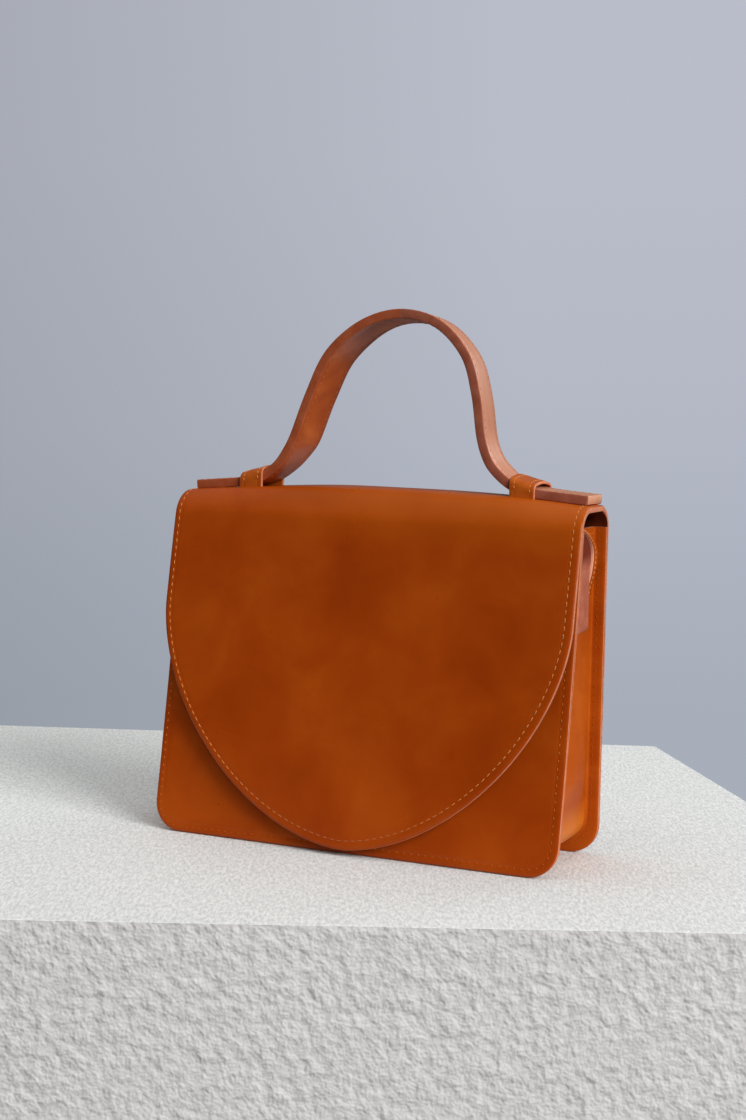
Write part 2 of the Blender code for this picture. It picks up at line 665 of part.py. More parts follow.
def along_height(profile, height, depth):
    """The point and the lean of a profile's face at a height, this far under it."""
    low, high = (0.0, profile.total) if profile.side < 0 else (profile.total, FRONT_CUT)
    for _ in range(DENSE // 2):
        middle = (low + high) / 2
        if profile.surface(0.0, middle, depth, level).z < height:
            low = middle
        else:
            high = middle
    point = profile.surface(0.0, low, depth, level)
    above = profile.surface(0.0, low - profile.side * OVERRUN, depth, level)
    return point, math.atan2(above.y - point.y, above.z - point.z)


def make_snap(parts, cutters, front_panel, flap_lining):
    centre, lean = along_height(FRONT, SNAP_HEIGHT, 0.0)
    out = Vector((0.0, -math.cos(lean), math.sin(lean)))
    turn = math.pi / 2 - lean
    stem = SEAM_GAP + LEATHER + SEAM_GAP + WASHER_THICKNESS
    floor = SOCKET_THICKNESS - SOCKET_BORE_DEPTH
    bore = [(SOCKET_BORE_RADIUS, SOCKET_THICKNESS), (SOCKET_BORE_RADIUS, floor), (0.0, floor)]
    section = snap_half(SOCKET_THICKNESS, SNAP_RADIUS, bore, stem, SNAP_STEM_RADIUS)
    turned("snap_socket", section, centre + out * SEAM_GAP, turn, parts, steel("snap_socket"))

    hole = SNAP_STEM_RADIUS + SEAM_GAP
    ring = [(hole, 0.0), (hole, WASHER_THICKNESS), (WASHER_RADIUS, WASHER_THICKNESS), (WASHER_RADIUS, 0.0)]
    ring.append(ring[0])
    behind = centre - out * (LEATHER + SEAM_GAP + WASHER_THICKNESS)
    turned("snap_socket_washer", ring, behind, turn, parts, steel("snap_socket_washer"), True)
    cut(front_panel, cutter_rod("socket_hole", hole, centre - out * LEATHER / 2, turn, cutters))

    # The stud faces the socket's middle, square to the flap.
    reach = centre + out * (SEAM_GAP + SOCKET_THICKNESS)
    seat, flap_lean = along_height(WRAP, reach.z, UNDERSIDE_DEPTH)
    inward = Vector((0.0, math.cos(flap_lean), -math.sin(flap_lean)))
    top = [(STUD_POST_RADIUS, STUD_THICKNESS)]
    top += [(STUD_POST_RADIUS, STUD_THICKNESS + STUD_POST_LENGTH), (0.0, STUD_THICKNESS + STUD_POST_LENGTH)]
    section = snap_half(STUD_THICKNESS, SNAP_RADIUS, top, SEAM_GAP + LINING, SNAP_STEM_RADIUS)
    turn = -math.pi / 2 - flap_lean
    cut(flap_lining, cutter_rod("stud_hole", hole, seat - inward * LINING / 2, turn, cutters))
    return turned("snap_stud", section, seat + inward * SEAM_GAP, turn, parts, steel("snap_stud"))


def pivot(name, place, pieces, parts):
    """An empty on a joint's axis, which carries the pieces that turn about it."""
    axis = bpy.data.objects.new(name, None)
    axis.location = (0.0, *place)
    parts.objects.link(axis)
    for piece in pieces:
        piece.parent = axis
        piece.matrix_parent_inverse = Matrix.Translation(-axis.location)
    return axis


def main():
    clear_scene()
    parts = new_collection("mini_briefcase_bag")
    cutters = new_collection("cutters")
    make_back(parts)
    front_panel = make_front(parts)
    bands = make_band(parts)
    flap = make_flap(parts)
    make_gusset(parts)
    make_tab("gusset_tab_left", -1, parts)
    make_tab("gusset_tab_right", 1, parts)
    layers, ends = make_strap(parts, cutters)
    keepers = [make_keeper("keeper_left", -1, parts, cutters, bands)]
    keepers.append(make_keeper("keeper_right", 1, parts, cutters, bands))
    stud = make_snap(parts, cutters, front_panel, flap[1])

    flap_fold = pivot("flap_fold", FRONT_HINGE, flap + [stud], parts)
    handle_tilt = pivot("handle_tilt", (STRAP_Y, CROWN_HEIGHT + TILT_STAND), layers, parts)
    pivot("top_fold", REAR_HINGE, bands + ends + keepers + [flap_fold, handle_tilt], parts)


main()
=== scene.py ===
"""How the mini briefcase bag looks: glossy tan leather with pale cut edges and tan thread, on a pale block.
Metres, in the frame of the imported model. Sheets of leather are drawn on (x, length) coordinates, where length
is counted along the sheet, and each point keeps its place on its sheet for the materials."""

import math

import bmesh
import bpy
import numpy as np
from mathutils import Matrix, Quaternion, Vector


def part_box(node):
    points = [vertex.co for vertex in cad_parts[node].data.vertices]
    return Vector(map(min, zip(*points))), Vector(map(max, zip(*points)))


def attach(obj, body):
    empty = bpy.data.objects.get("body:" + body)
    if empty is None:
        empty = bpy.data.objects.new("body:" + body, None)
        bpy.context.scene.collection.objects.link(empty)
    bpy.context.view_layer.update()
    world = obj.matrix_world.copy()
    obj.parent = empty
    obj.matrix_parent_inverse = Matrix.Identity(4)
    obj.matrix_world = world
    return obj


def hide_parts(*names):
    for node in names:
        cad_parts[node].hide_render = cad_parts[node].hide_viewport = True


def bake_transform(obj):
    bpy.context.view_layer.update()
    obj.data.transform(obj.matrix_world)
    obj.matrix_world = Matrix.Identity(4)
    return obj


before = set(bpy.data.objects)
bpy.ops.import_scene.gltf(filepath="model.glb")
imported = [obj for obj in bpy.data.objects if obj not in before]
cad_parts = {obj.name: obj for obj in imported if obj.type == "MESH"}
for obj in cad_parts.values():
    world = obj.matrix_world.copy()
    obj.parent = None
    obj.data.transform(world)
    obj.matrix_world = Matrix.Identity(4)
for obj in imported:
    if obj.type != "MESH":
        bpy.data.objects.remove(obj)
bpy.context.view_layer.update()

MM = 0.001

# Leather and gaps, as in the solids
LEATHER = 1.8 * MM
LINING = 1.1 * MM
GUSSET_LEATHER = 1.6 * MM
TAB_LEATHER = 1.2 * MM
KEEPER_LEATHER = 1.4 * MM
SEAM_GAP = 0.3 * MM
LINED = LEATHER + SEAM_GAP + LINING

# Body, read from the solids or repeated from them
BACK_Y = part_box("back_panel")[1].y
BODY_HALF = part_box("back_panel")[1].x
FLAP_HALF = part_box("flap_outer")[1].x
TIP_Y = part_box("flap_outer")[0].y
PANEL_TOP = 166 * MM
CORNER_RADIUS = 15 * MM
FRONT_FOOT = 0.4 * MM
FRONT_START_Y = BACK_Y - 65.4 * MM
FRONT_PULL = (BACK_Y - 49.6 * MM, 84 * MM)
FRONT_END_Y = BACK_Y - 40.8 * MM

# Top, folds and flap
CROWN_HEIGHT = 177.4 * MM
CROWN_RISE = 4.8 * MM
CROWN_FLAT = 18.3 * MM
REAR_FOLD_RADIUS = 12 * MM
FRONT_FOLD_RADIUS = 15 * MM
REAR_HINGE_TURN = math.radians(20)
FRONT_HINGE_TURN = math.radians(60)
FLAP_LEAN = math.radians(11.8)
FLAP_TIP_HEIGHT = 3.1 * MM
FLAP_ROUND_LENGTH = 118.3 * MM
FLAP_ROUNDNESS = 1.75
FLAP_BOW_HEIGHT = 84.4 * MM

# Gusset, tabs and the facing strips round the tabs
GUSSET_REAR = BACK_Y - LEATHER - SEAM_GAP
FLANGE = 8 * MM
GUSSET_FOLD_RADIUS = 2.4 * MM
WEB_X = BODY_HALF - FLANGE
WEB_CORNER_RADIUS = 13 * MM
WEB_BULGE = 1.0 * MM
WEB_FLAT_FROM = 92 * MM  # the height where the web starts to lie flatter, towards the tabs
WEB_FLATTENED_SHARE = 0.8  # of its bulge
WEB_LOW_BULGE = 2.8 * MM  # a further bulge, between the three heights that follow
WEB_LOW_START = 18 * MM
WEB_LOW_PEAK = 44 * MM
WEB_LOW_TOP = 86 * MM
TAB_BOTTOM = 113 * MM
TAB_TOP = 165.4 * MM
TAB_STRAIGHT_TOP = 146 * MM
TAB_REAR_INSET = 13.2 * MM
TAB_BULGE = 3.4 * MM
TAB_NARROWING_SHARE = 0.93
TAB_END_SLANT = 2.6 * MM
TAB_ROUNDING = 0.4 * MM
FACING_BOTTOM = 132 * MM
FACING_WIDTH = 8 * MM
FACING_HEIGHT = 2.6 * MM
FACING_SEAM_SHARE = 0.4  # of the facing's width, where its stitches are
FACING_STITCH = 2.0 * MM
FACING_MOST_RISE = 0.2  # how steeply its width may point up
# The facing's section: share of its width, share of its height, and the look of the step that follows
FACING_SECTION = (
    (0.0, 0.4, 1), (0.0, 0.85, 1), (0.01, 0.95, 1), (0.03, 1, 0), (0.3, 1, 0), (0.6, 1, 0), (0.85, 0.95, 0),
    (1.0, 0.3, 0), (0.5, -0.2, 0), (0.0, -0.2, 1),
)
HEM_INSET = 3.2 * MM
GUSSET_SEAM_INSET = 4 * MM
# The distances from the edge that mark the points of the gusset's borders and of its web
BORDER_MARK = 5 * MM
WEB_MARK = 9 * MM

# Strap handle and keepers
STRAP_WIDTH = 22 * MM
STRAP_HALF_THICKNESS = 2.6 * MM  # in the solids
STRAP_HALF_WORN = 2.25 * MM  # as it shows
STRAP_UNDER = 0.8 * SEAM_GAP  # how far its lower face also reaches into the gap over the bag
STRAP_ROUNDING = 0.55 * MM
STRAP_END_ROUNDING = 0.5 * MM
STRAP_SEAM_INSET = 2.6 * MM
STRAP_STITCH = 1.9 * MM
STRAP_THREAD_RADIUS = 0.18 * MM
STRAP_HALF_LENGTH = 110 * MM
STRAP_Y = BACK_Y - 17 * MM
HANDLE_RISE = 90 * MM
STRAP_TOE_IN = (3.3 * MM, 1.6 * MM)  # on the left leg and on the right one
STRAP_REAR_DROP = 1.8 * MM
# The arch from left to right, in shares of the strap's half length and of the handle's rise
ARCH_SHARES = (
    (-0.755, 0.026), (-0.684, 0.042), (-0.627, 0.069), (-0.564, 0.124), (-0.520, 0.188),
    (-0.471, 0.298), (-0.394, 0.536), (-0.294, 0.773), (-0.125, 0.939), (0.068, 1.000),
    (0.254, 0.944), (0.392, 0.775), (0.449, 0.560), (0.479, 0.325), (0.516, 0.194),
    (0.564, 0.124), (0.627, 0.069), (0.684, 0.042), (0.755, 0.026),
)
KEEPER_INNER = 69.5 * MM
KEEPER_WIDTH = 13.4 * MM
KEEPER_INNER_ROOM = 9.9 * MM
KEEPER_OUTER_ROOM = 7.2 * MM
KEEPER_FOOT = 6 * MM
KEEPER_FOOT_BEND = ((KEEPER_FOOT, 0.0), (1.5 * MM, 0.0), (0.4 * MM, 0.3 * MM), (0.0, 1.2 * MM))
KEEPER_CORNER = 2.6 * MM
KEEPER_CROWN = 0.9 * MM
KEEPER_HIDDEN = 6  # points at each end of a keeper's line that carry no stitches
KEEPER_ROUNDING = 0.5 * MM
KEEPER_SEAM_INSET = 2.6 * MM
KEEPER_STITCH = 1.8 * MM
# Shares of the handle's rise: where the keepers stop holding the strap square, over how much more its legs
# turn in, and up to where the thinner strap that shows moves from the solid strap's inside to its outside
KEEPER_SHARE = 0.07
TOE_IN_SHARE = 0.22
WORN_SHARE = 0.2

# Thread
STITCH_PITCH = 3.9 * MM
STITCH_LENGTH = 2.5 * MM
SHORT_STITCH = 1.4 * MM
SHORT_PITCH = 2.6 * MM
# A seam's distances from the edge at the left, the right and the bottom
FLAP_SEAM = (3.0 * MM, 3.9 * MM, 4.8 * MM)
PANEL_SEAM = (2.5 * MM, 3.6 * MM, 4.0 * MM)
THREAD_RADIUS = 0.24 * MM
THREAD_SINK = 0.4 * MM
THREAD_RISE = 0.05 * MM

# Camera and stage, read from the photograph
CAMERA_PLACE = Vector((0.4103, -0.8713, 0.2289))
CAMERA_TARGET = Vector((-0.0066, 0.0116, 0.1446))
CAMERA_ROLL = math.radians(1.12)
CAMERA_LENS = 61.1
LAMP_TARGET = Vector((0.0, 0.0, 0.1))
TABLE_CORNERS = ((0.3026, -0.0285), (0.0476, 0.3427), (-0.573, 0.101), (-0.3696, -0.3482))
TABLE_TURN = 0.44  # of its front edge, in radians
TABLE_DEPTH = 0.35
TABLE_DROP = 0.2 * MM
TABLE_EDGE = 0.3 * MM

# Edges of the pieces
LINING_TAPER = 10 * MM  # the length over which a rim grows from one layer to two
SHARP_ANGLE = math.radians(50)  # from which an edge of a mesh stays sharp
END_ROUNDING = 0.3 * MM

# Counts and small steps
DENSE = 200
BORDER = CORNER_RADIUS  # width of the strip round a sheet whose rows follow its outline
FINE = 3 * MM
PROBE = 0.05 * MM
MERGE = 0.004 * MM


def spread(start, end, steps):
    return [start + (end - start) * i / steps for i in range(steps + 1)]


def arc(centre, radius, start, end, steps):
    """Points from angle start to angle end, counted from +Y towards +Z."""
    turns = spread(start, end, steps)
    return [(centre[0] + radius * math.cos(t), centre[1] + radius * math.sin(t)) for t in turns]


def bow(start, pull, end, steps):
    """A quadratic Bezier curve."""
    points = []
    for t in spread(0, 1, steps):
        weights = ((1 - t) ** 2, 2 * t * (1 - t), t * t)
        points.append(tuple(sum(w * p[k] for w, p in zip(weights, (start, pull, end))) for k in (0, 1)))
    return points


def ease(share):
    share = np.clip(share, 0.0, 1.0)
    return share * share * (3 - 2 * share)


def unit(vectors):
    return vectors / np.linalg.norm(vectors, axis=-1, keepdims=True)


def placed(name, data):
    """A new object in the scene."""
    made = bpy.data.objects.new(name, data)
    bpy.context.scene.collection.objects.link(made)
    return made


def runs_along(points):
    """How far along the line each of its points is."""
    return np.concatenate([[0.0], np.cumsum(np.linalg.norm(np.diff(points, axis=0), axis=1))])


def points_at(x, y, z):
    """Points from their coordinates, each an array or the same number for all."""
    return np.stack(np.broadcast_arrays(x, y, z), -1)


class Profile:
    """The side view of a sheet's outer face in the YZ plane, read by its length from the start. side is 1
    where the inside of the bag lies left of the way along it, seen from +X, and -1 where it lies right."""

    def __init__(self, points, side, lift=None):
        points = np.array(points, float)
        runs = np.linalg.norm(np.diff(points, axis=0), axis=1)
        keep = np.concatenate([[True], runs > MERGE])
        self.points = points[keep]
        self.lengths = runs_along(self.points)
        self.total = self.lengths[-1]
        self.side = side
        self.lift = lift

    def nearest(self, point):
        return self.lengths[np.argmin(np.linalg.norm(self.points - np.array(point), axis=1))]

    def outer(self, x, length):
        y = np.interp(length, self.lengths, self.points[:, 0])
        z = np.interp(length, self.lengths, self.points[:, 1])
        return points_at(x, y, z + self.lift(x, length) if self.lift else z)

    def inward(self, x, length):
        """The unit normal towards the inside of the bag."""
        across = self.outer(x + PROBE, length) - self.outer(x - PROBE, length)
        along = self.outer(x, length + PROBE) - self.outer(x, length - PROBE)
        return unit(np.cross(across, along)) * self.side

    def place(self, x, length, depth):
        x, length, depth = np.broadcast_arrays(*(np.asarray(v, float) for v in (x, length, depth)))
        depth = depth + ripple(x, length)
        return self.outer(x, length) + self.inward(x, length) * depth[..., None]


def ripple(x, length):
    """The slight unevenness of a flat sheet of leather."""
    waves = ((42, 68, 0.4, 0.12), (-66, 38, 1.7, 0.10), (104, 94, 3.1, 0.05))
    return sum(np.sin(a * x + b * length + c) * size for a, b, c, size in waves) * MM


REAR_FOLD_CENTRE = (BACK_Y - REAR_FOLD_RADIUS, CROWN_HEIGHT - REAR_FOLD_RADIUS)
FRONT_FOLD_CENTRE = (REAR_FOLD_CENTRE[0] - CROWN_FLAT, CROWN_HEIGHT - FRONT_FOLD_RADIUS)


def dome(x):
    return CROWN_RISE * (1 - (x / BODY_HALF) ** 2)


def crown_lift(x, length):
    rising = ease((length - REAR_CUT) / (REAR_FOLD_END - REAR_CUT))
    falling = ease((FRONT_CUT - length) / (FRONT_CUT - FRONT_FOLD_START))
    return np.maximum(0.0, dome(x)) * np.minimum(rising, falling)


def wrap_points():
    """The one sheet of the outside: up the back, over the top and down the front to the flap's tip."""
    up = math.pi / 2
    rear = (REAR_FOLD_CENTRE, REAR_FOLD_RADIUS, (0, REAR_HINGE_TURN, up))
    front = (FRONT_FOLD_CENTRE, FRONT_FOLD_RADIUS, (up, up + FRONT_HINGE_TURN, math.pi - FLAP_LEAN))
    points = [(BACK_Y, 0.0)]
    for centre, radius, turns in (rear, front):
        for start, end in zip(turns, turns[1:]):
            points += arc(centre, radius, start, end, DENSE)
    y, z = points[-1]
    pull = (y - (z - FLAP_BOW_HEIGHT) * math.tan(FLAP_LEAN), FLAP_BOW_HEIGHT)
    return points + bow((y, z), pull, (TIP_Y, FLAP_TIP_HEIGHT), DENSE)


WRAP = Profile(wrap_points(), 1, crown_lift)
FRONT = Profile(bow((FRONT_START_Y, FRONT_FOOT), FRONT_PULL, (FRONT_END_Y, PANEL_TOP), DENSE), -1)
REAR_HINGE = arc(REAR_FOLD_CENTRE, REAR_FOLD_RADIUS, 0, REAR_HINGE_TURN, 1)[-1]
FRONT_HINGE = arc(FRONT_FOLD_CENTRE, FRONT_FOLD_RADIUS, 0, math.pi / 2 + FRONT_HINGE_TURN, 1)[-1]
REAR_FOLD_START = WRAP.nearest((BACK_Y, REAR_FOLD_CENTRE[1]))
REAR_CUT = WRAP.nearest(REAR_HINGE)
REAR_FOLD_END = WRAP.nearest((REAR_FOLD_CENTRE[0], CROWN_HEIGHT))
FRONT_FOLD_START = WRAP.nearest((FRONT_FOLD_CENTRE[0], CROWN_HEIGHT))
FRONT_CUT = WRAP.nearest(FRONT_HINGE)
FLAP_ROUND_START = WRAP.total - FLAP_ROUND_LENGTH
CROWN_MIDDLE = (REAR_FOLD_END + FRONT_FOLD_START) / 2


class Build:
    """Collects grids of points into one mesh, with each point's place on its sheet and distance from its
    edge."""

    def __init__(self):
        self.points = []
        self.sheet = []
        self.inset = []
        self.faces = []
        self.looks = []

    def grid(self, points, sheet, inset, looks, closed=False):
        """A grid of rows by columns. looks gives a material for each step between two columns."""
        rows, columns = points.shape[:2]
        start = sum(len(p) for p in self.points)
        self.points.append(points.reshape(-1, 3))
        self.sheet.append(np.broadcast_to(sheet, points.shape).reshape(-1, 3))
        self.inset.append(np.broadcast_to(inset, points.shape[:2]).reshape(-1))
        looks = np.broadcast_to(looks, (columns if closed else columns - 1,))
        for r in range(rows - 1):
            for c, look in enumerate(looks):
                after = (c + 1) % columns
                a = start + r * columns
                b = a + columns
                self.faces.append((a + c, a + after, b + after, b + c))
                self.looks.append(int(look))

    def finish(self, name, materials, cap_look=1):
        mesh = bpy.data.meshes.new(name)
        points = np.concatenate(self.points)
        mesh.from_pydata(points, [], self.faces)
        mesh.polygons.foreach_set("material_index", self.looks)
        sheet = mesh.attributes.new("sheet", "FLOAT_VECTOR", "POINT")
        sheet.data.foreach_set("vector", np.concatenate(self.sheet).astype(np.float32).ravel())
        inset = mesh.attributes.new("inset", "FLOAT", "POINT")
        inset.data.foreach_set("value", np.concatenate(self.inset).astype(np.float32))
        bm = bmesh.new()
        bm.from_mesh(mesh)
        bmesh.ops.remove_doubles(bm, verts=bm.verts, dist=MERGE)
        made = bmesh.ops.holes_fill(bm, edges=[edge for edge in bm.edges if edge.is_boundary], sides=0)
        for face in made["faces"]:
            face.material_index = cap_look
        bmesh.ops.recalc_face_normals(bm, faces=bm.faces)
        for face in bm.faces:
            face.smooth = True
        bm.to_mesh(mesh)
        bm.free()
        mesh.set_sharp_from_angle(angle=SHARP_ANGLE)
        for material in materials:
            mesh.materials.append(material)
        return placed(name, mesh)


# Across a sheet's border, in millimetres: distance from the edge and depth under the outer face. The stitches
# lie in the grooves at 4. The looks of the steps are leather, cut edge and lining.
RIM_START = ((15, 0), (9.5, 0), (6, 0), (4.8, 0), (4.4, 0.06), (4.0, 0.1), (3.6, 0.06), (3.2, 0), (2.2, 0))
SINGLE_RIM = RIM_START + (
    (1.1, 0.03), (0.55, 0.13), (0.25, 0.3), (0.06, 0.5), (0.0, 0.8), (0.0, 0.9), (0.0, 1.0), (0.0, 1.3),
    (0.0, 1.6), (0.02, 1.9), (0.12, 2.0), (0.6, 2.0), (3.2, 1.8), (4.0, 1.72), (4.8, 1.8), (9.5, 1.8),
    (15, 1.8),
)
LINED_RIM = RIM_START + (
    (1.3, 0.04), (0.7, 0.17), (0.35, 0.36), (0.12, 0.66), (0.04, 1.2), (0.02, 1.65), (0.05, 1.95),
    (0.02, 2.25), (0.08, 2.8), (0.25, 2.98), (0.65, 3.12), (1.3, 3.2), (3.2, 3.2), (4.0, 3.12), (4.8, 3.2),
    (9.5, 3.2), (15, 3.2),
)
RIM_LOOKS = (0,) * 12 + (1,) * 7 + (2,) * 6


def rim_at(length, lined_from):
    """The border's section at each of these lengths: one layer, or two from lined_from on."""
    share = ease((np.asarray(length)[:, None] - lined_from) / LINING_TAPER)[..., None]
    single = np.array(SINGLE_RIM)
    rim = single + (np.array(LINED_RIM) - single) * share
    return rim[..., 0] * MM, rim[..., 1] * MM


class Sheet:
    """The flat pattern of a sheet of leather, from its right side's edge and the points BORDER inside it.
    Where the last inner point isn't in the middle, a straight bottom edge joins the two sides."""

    def __init__(self, profile, edges, inner, columns, lined_from):
        self.profile = profile
        self.lined_from = lined_from
        self.edges = np.array(edges, float)
        self.inner = np.array(inner, float)
        self.shares = np.linspace(1, -1, columns + 1)
        low = self.inner[-1]
        bottom = np.zeros((0, 2))
        left = slice(-2, None, -1)
        if low[0] > MERGE:
            bottom = self.shares[1:-1, None] * (low[0], 0.0) + (0.0, low[1])
            left = slice(None, None, -1)
        self.loop_inner = np.concatenate([self.inner, bottom, self.inner[left] * (-1.0, 1.0)])
        bottom = bottom + (self.edges[-1] - low)
        self.loop_edges = np.concatenate([self.edges, bottom, self.edges[left] * (-1.0, 1.0)])

    def strip(self, inset):
        """The line at this distance from the outline, from the top right round to the top left."""
        return self.loop_edges + (self.loop_inner - self.loop_edges) * (np.asarray(inset) / BORDER)

    def build(self, name, materials):
        made = Build()
        inset, depth = rim_at(self.loop_edges[:, 1], self.lined_from)
        inwards = (self.loop_inner - self.loop_edges)[:, None]
        flat = self.loop_edges[:, None] + inwards * (inset / BORDER)[..., None]
        x, length = flat[..., 0], flat[..., 1]
        made.grid(self.profile.place(x, length, depth), points_at(x, length, depth), inset, RIM_LOOKS)
        x = self.inner[:, :1] * self.shares
        length = self.inner[:, 1:]
        thickness = rim_at(self.inner[:, 1], self.lined_from)[1][:, -1:]
        for depth, look in ((0.0, 0), (thickness, 2)):
            made.grid(self.profile.place(x, length, depth), points_at(x, length, depth), BORDER, look)
        return made.finish(name, materials)

    def seam(self, insets, outside=True):
        """The line of a row of stitches in space, with the way out of the leather along it."""
        x, length = self.loop_edges.T
        aside = x / np.abs(x).max()
        low = np.abs(length - self.inner[0, 1]) / np.abs(length - self.inner[0, 1]).max()
        sides = np.where(aside < 0, insets[0], insets[1])
        bottom = (1 - ease(np.abs(aside) / 0.95)) * (low > 0.5)
        flat = self.strip((sides + (insets[2] - sides) * bottom)[:, None])
        normals = self.profile.inward(flat[:, 0], flat[:, 1])
        if outside:
            return self.profile.place(flat[:, 0], flat[:, 1], 0.0), -normals
        depth = rim_at(flat[:, 1], self.lined_from)[1][:, -1]
        return self.profile.place(flat[:, 0], flat[:, 1], depth), normals


def rows_between(start, end, step=FINE):
    return list(np.linspace(start, end, max(2, round(abs(end - start) / step) + 1)))


def joined(*runs):
    rows = list(runs[0])
    for run in runs[1:]:
        rows += list(run[1:])
    return rows


def rounded_sides(half_width, rows):
    """Stations down two straight sides and round two corners, for a sheet whose lower edge is at length 0."""
    edges = [(half_width(row), row) for row in rows]
    inner = [(half_width(row) - BORDER, row) for row in rows]
    centre = (half_width(0.0) - CORNER_RADIUS, CORNER_RADIUS)
    for t in spread(0, math.pi / 2, 10)[1:]:
        edges.append((centre[0] + CORNER_RADIUS * math.cos(t), centre[1] - CORNER_RADIUS * math.sin(t)))
        inner.append(centre)
    return edges, inner


def wrap_half_width(length):
    share = min(1.0, max(0.0, (length - REAR_CUT) / (FRONT_CUT - REAR_CUT)))
    return BODY_HALF + (FLAP_HALF - BODY_HALF) * share


def back_sheet():
    rows = joined(
        rows_between(CROWN_MIDDLE, REAR_FOLD_END),
        rows_between(REAR_FOLD_END, REAR_FOLD_START, MM),
        rows_between(REAR_FOLD_START, CORNER_RADIUS),
    )
    edges, inner = rounded_sides(wrap_half_width, rows)
    return Sheet(WRAP, edges, inner, 50, REAR_CUT)


def front_sheet():
    edges, inner = rounded_sides(lambda row: BODY_HALF, rows_between(FRONT.total, CORNER_RADIUS))
    return Sheet(FRONT, edges, inner, 50, FRONT.total * 2)


def flap_sheet():
    fold_end = FRONT_FOLD_START + FRONT_FOLD_RADIUS * math.pi / 2
    rows = joined(
        rows_between(CROWN_MIDDLE, FRONT_FOLD_START),
        rows_between(FRONT_FOLD_START, fold_end, MM),
        rows_between(fold_end, FLAP_ROUND_START),
    )
    edges = [(wrap_half_width(row), row) for row in rows]
    power = 2 / FLAP_ROUNDNESS
    for t in spread(0, math.pi / 2, 60)[1:]:
        x = FLAP_HALF * max(0.0, math.cos(t)) ** power if t < math.pi / 2 else 0.0
        edges.append((x, FLAP_ROUND_START + FLAP_ROUND_LENGTH * math.sin(t) ** power))
    edges = np.array(edges)
    along = np.gradient(edges, axis=0)
    along[-1] = (-1.0, 0.0)
    inward = unit(np.stack([-along[:, 1], along[:, 0]], -1))
    inner = edges + inward * BORDER
    inner[:, 0] = np.maximum(inner[:, 0], 0.0)
    inner[-1, 0] = 0.0
    return Sheet(WRAP, edges, inner, 56, 0.0)


def resample(points, normals, length, pitch):
    """Stitch ends along a line: start, end and normal of each."""
    runs = runs_along(points)
    count = max(1, round(runs[-1] / pitch))
    middle = (np.arange(count) + 0.5) * runs[-1] / count
    half = length / 2

    def at(values, where):
        return np.stack([np.interp(where, runs, values[:, k]) for k in range(3)], -1)

    return at(points, middle - half), at(points, middle + half), unit(at(normals, middle))


def stitches(name, seams, material, length=STITCH_LENGTH, pitch=STITCH_PITCH, radius=THREAD_RADIUS):
    """Rows of stitches, each a short length of thread that dips into the leather at both its ends."""
    made = Build()
    turns = np.linspace(0, 2 * math.pi, 7)[:-1]
    steps = np.array([0.0, 0.12, 0.3, 0.5, 0.7, 0.88, 1.0])
    for points, normals in seams:
        starts, ends, outs = resample(points, normals, length, pitch)
        for a, b, out in zip(starts, ends, outs):
            way = (b - a) / np.linalg.norm(b - a)
            side = np.cross(way, out)
            height = -THREAD_SINK + (THREAD_SINK + THREAD_RISE) * np.sin(math.pi * steps) ** 0.45
            line = a + np.outer(steps, b - a) + np.outer(height, out)
            ring = np.outer(np.cos(turns), out) + np.outer(np.sin(turns), side)
            thread = line[:, None] + ring[None] * radius
            sheet = points_at(a[0] + steps[:, None] * length, turns * radius, 0.0)
            made.grid(thread, sheet, max(0.0, a[2]), 0, closed=True)
    return made.finish(name, [material, material])


def srgb(red, green, blue):
    """A colour given as 0 to 255, as a picture shows it."""
    shares = [value / 255 for value in (red, green, blue)]
    return tuple(s / 12.92 if s <= 0.04045 else ((s + 0.055) / 1.055) ** 2.4 for s in shares) + (1.0,)


def fill(node, inputs):
    """Sets a node's inputs, each to a number, a colour or another node's output."""
    for key, value in inputs.items():
        if isinstance(value, bpy.types.NodeSocket):
            node.id_data.links.new(value, node.inputs[key])
        else:
            node.inputs[key].default_value = value


def add(kind, inputs, **settings):
    """A node in the tree of the outputs that it takes, with its settings and inputs."""
    tree = next(value.id_data for value in inputs.values() if isinstance(value, bpy.types.NodeSocket))
    made = tree.nodes.new(kind)
    for key, value in settings.items():
        setattr(made, key, value)
    fill(made, inputs)
    return made


def shade(tree, inputs):
    """Sets inputs of the material's shader."""
    fill(tree.nodes["Principled BSDF"], inputs)


def attribute(tree, name, output="Vector"):
    made = tree.nodes.new("ShaderNodeAttribute")
    made.attribute_name = name
    return made.outputs[output]


def axis_of(vector, axis):
    return add("ShaderNodeSeparateXYZ", {"Vector": vector}).outputs[axis]


def times(a, b):
    return add("ShaderNodeMath", {0: a, 1: b}, operation="MULTIPLY").outputs[0]


def stretched(vector, factors):
    return add("ShaderNodeVectorMath", {0: vector, 1: factors}, operation="MULTIPLY").outputs[0]


def noise(coords, scale, detail=3.0, roughness=0.5, distortion=0.0):
    inputs = {"Vector": coords, "Scale": scale, "Detail": detail, "Roughness": roughness}
    return add("ShaderNodeTexNoise", {**inputs, "Distortion": distortion}).outputs["Fac"]


def ramp(factor, *stops):
    """Colours at places from 0 to 1, each stop given as its place and a colour as a picture shows it."""
    made = add("ShaderNodeValToRGB", {"Fac": factor})
    elements = made.color_ramp.elements
    while len(elements) < len(stops):
        elements.new(0.5)
    for element, (place, colour) in zip(elements, stops):
        element.position = place
        element.color = srgb(*colour)
    return made.outputs["Color"]


def span(value, low, high, to_low, to_high):
    inputs = {"Value": value, "From Min": low, "From Max": high, "To Min": to_low, "To Max": to_high}
    return add("ShaderNodeMapRange", inputs).outputs["Result"]


def mix(factor, a, b):
    return add("ShaderNodeMix", {0: factor, 6: a, 7: b}, data_type="RGBA").outputs[2]


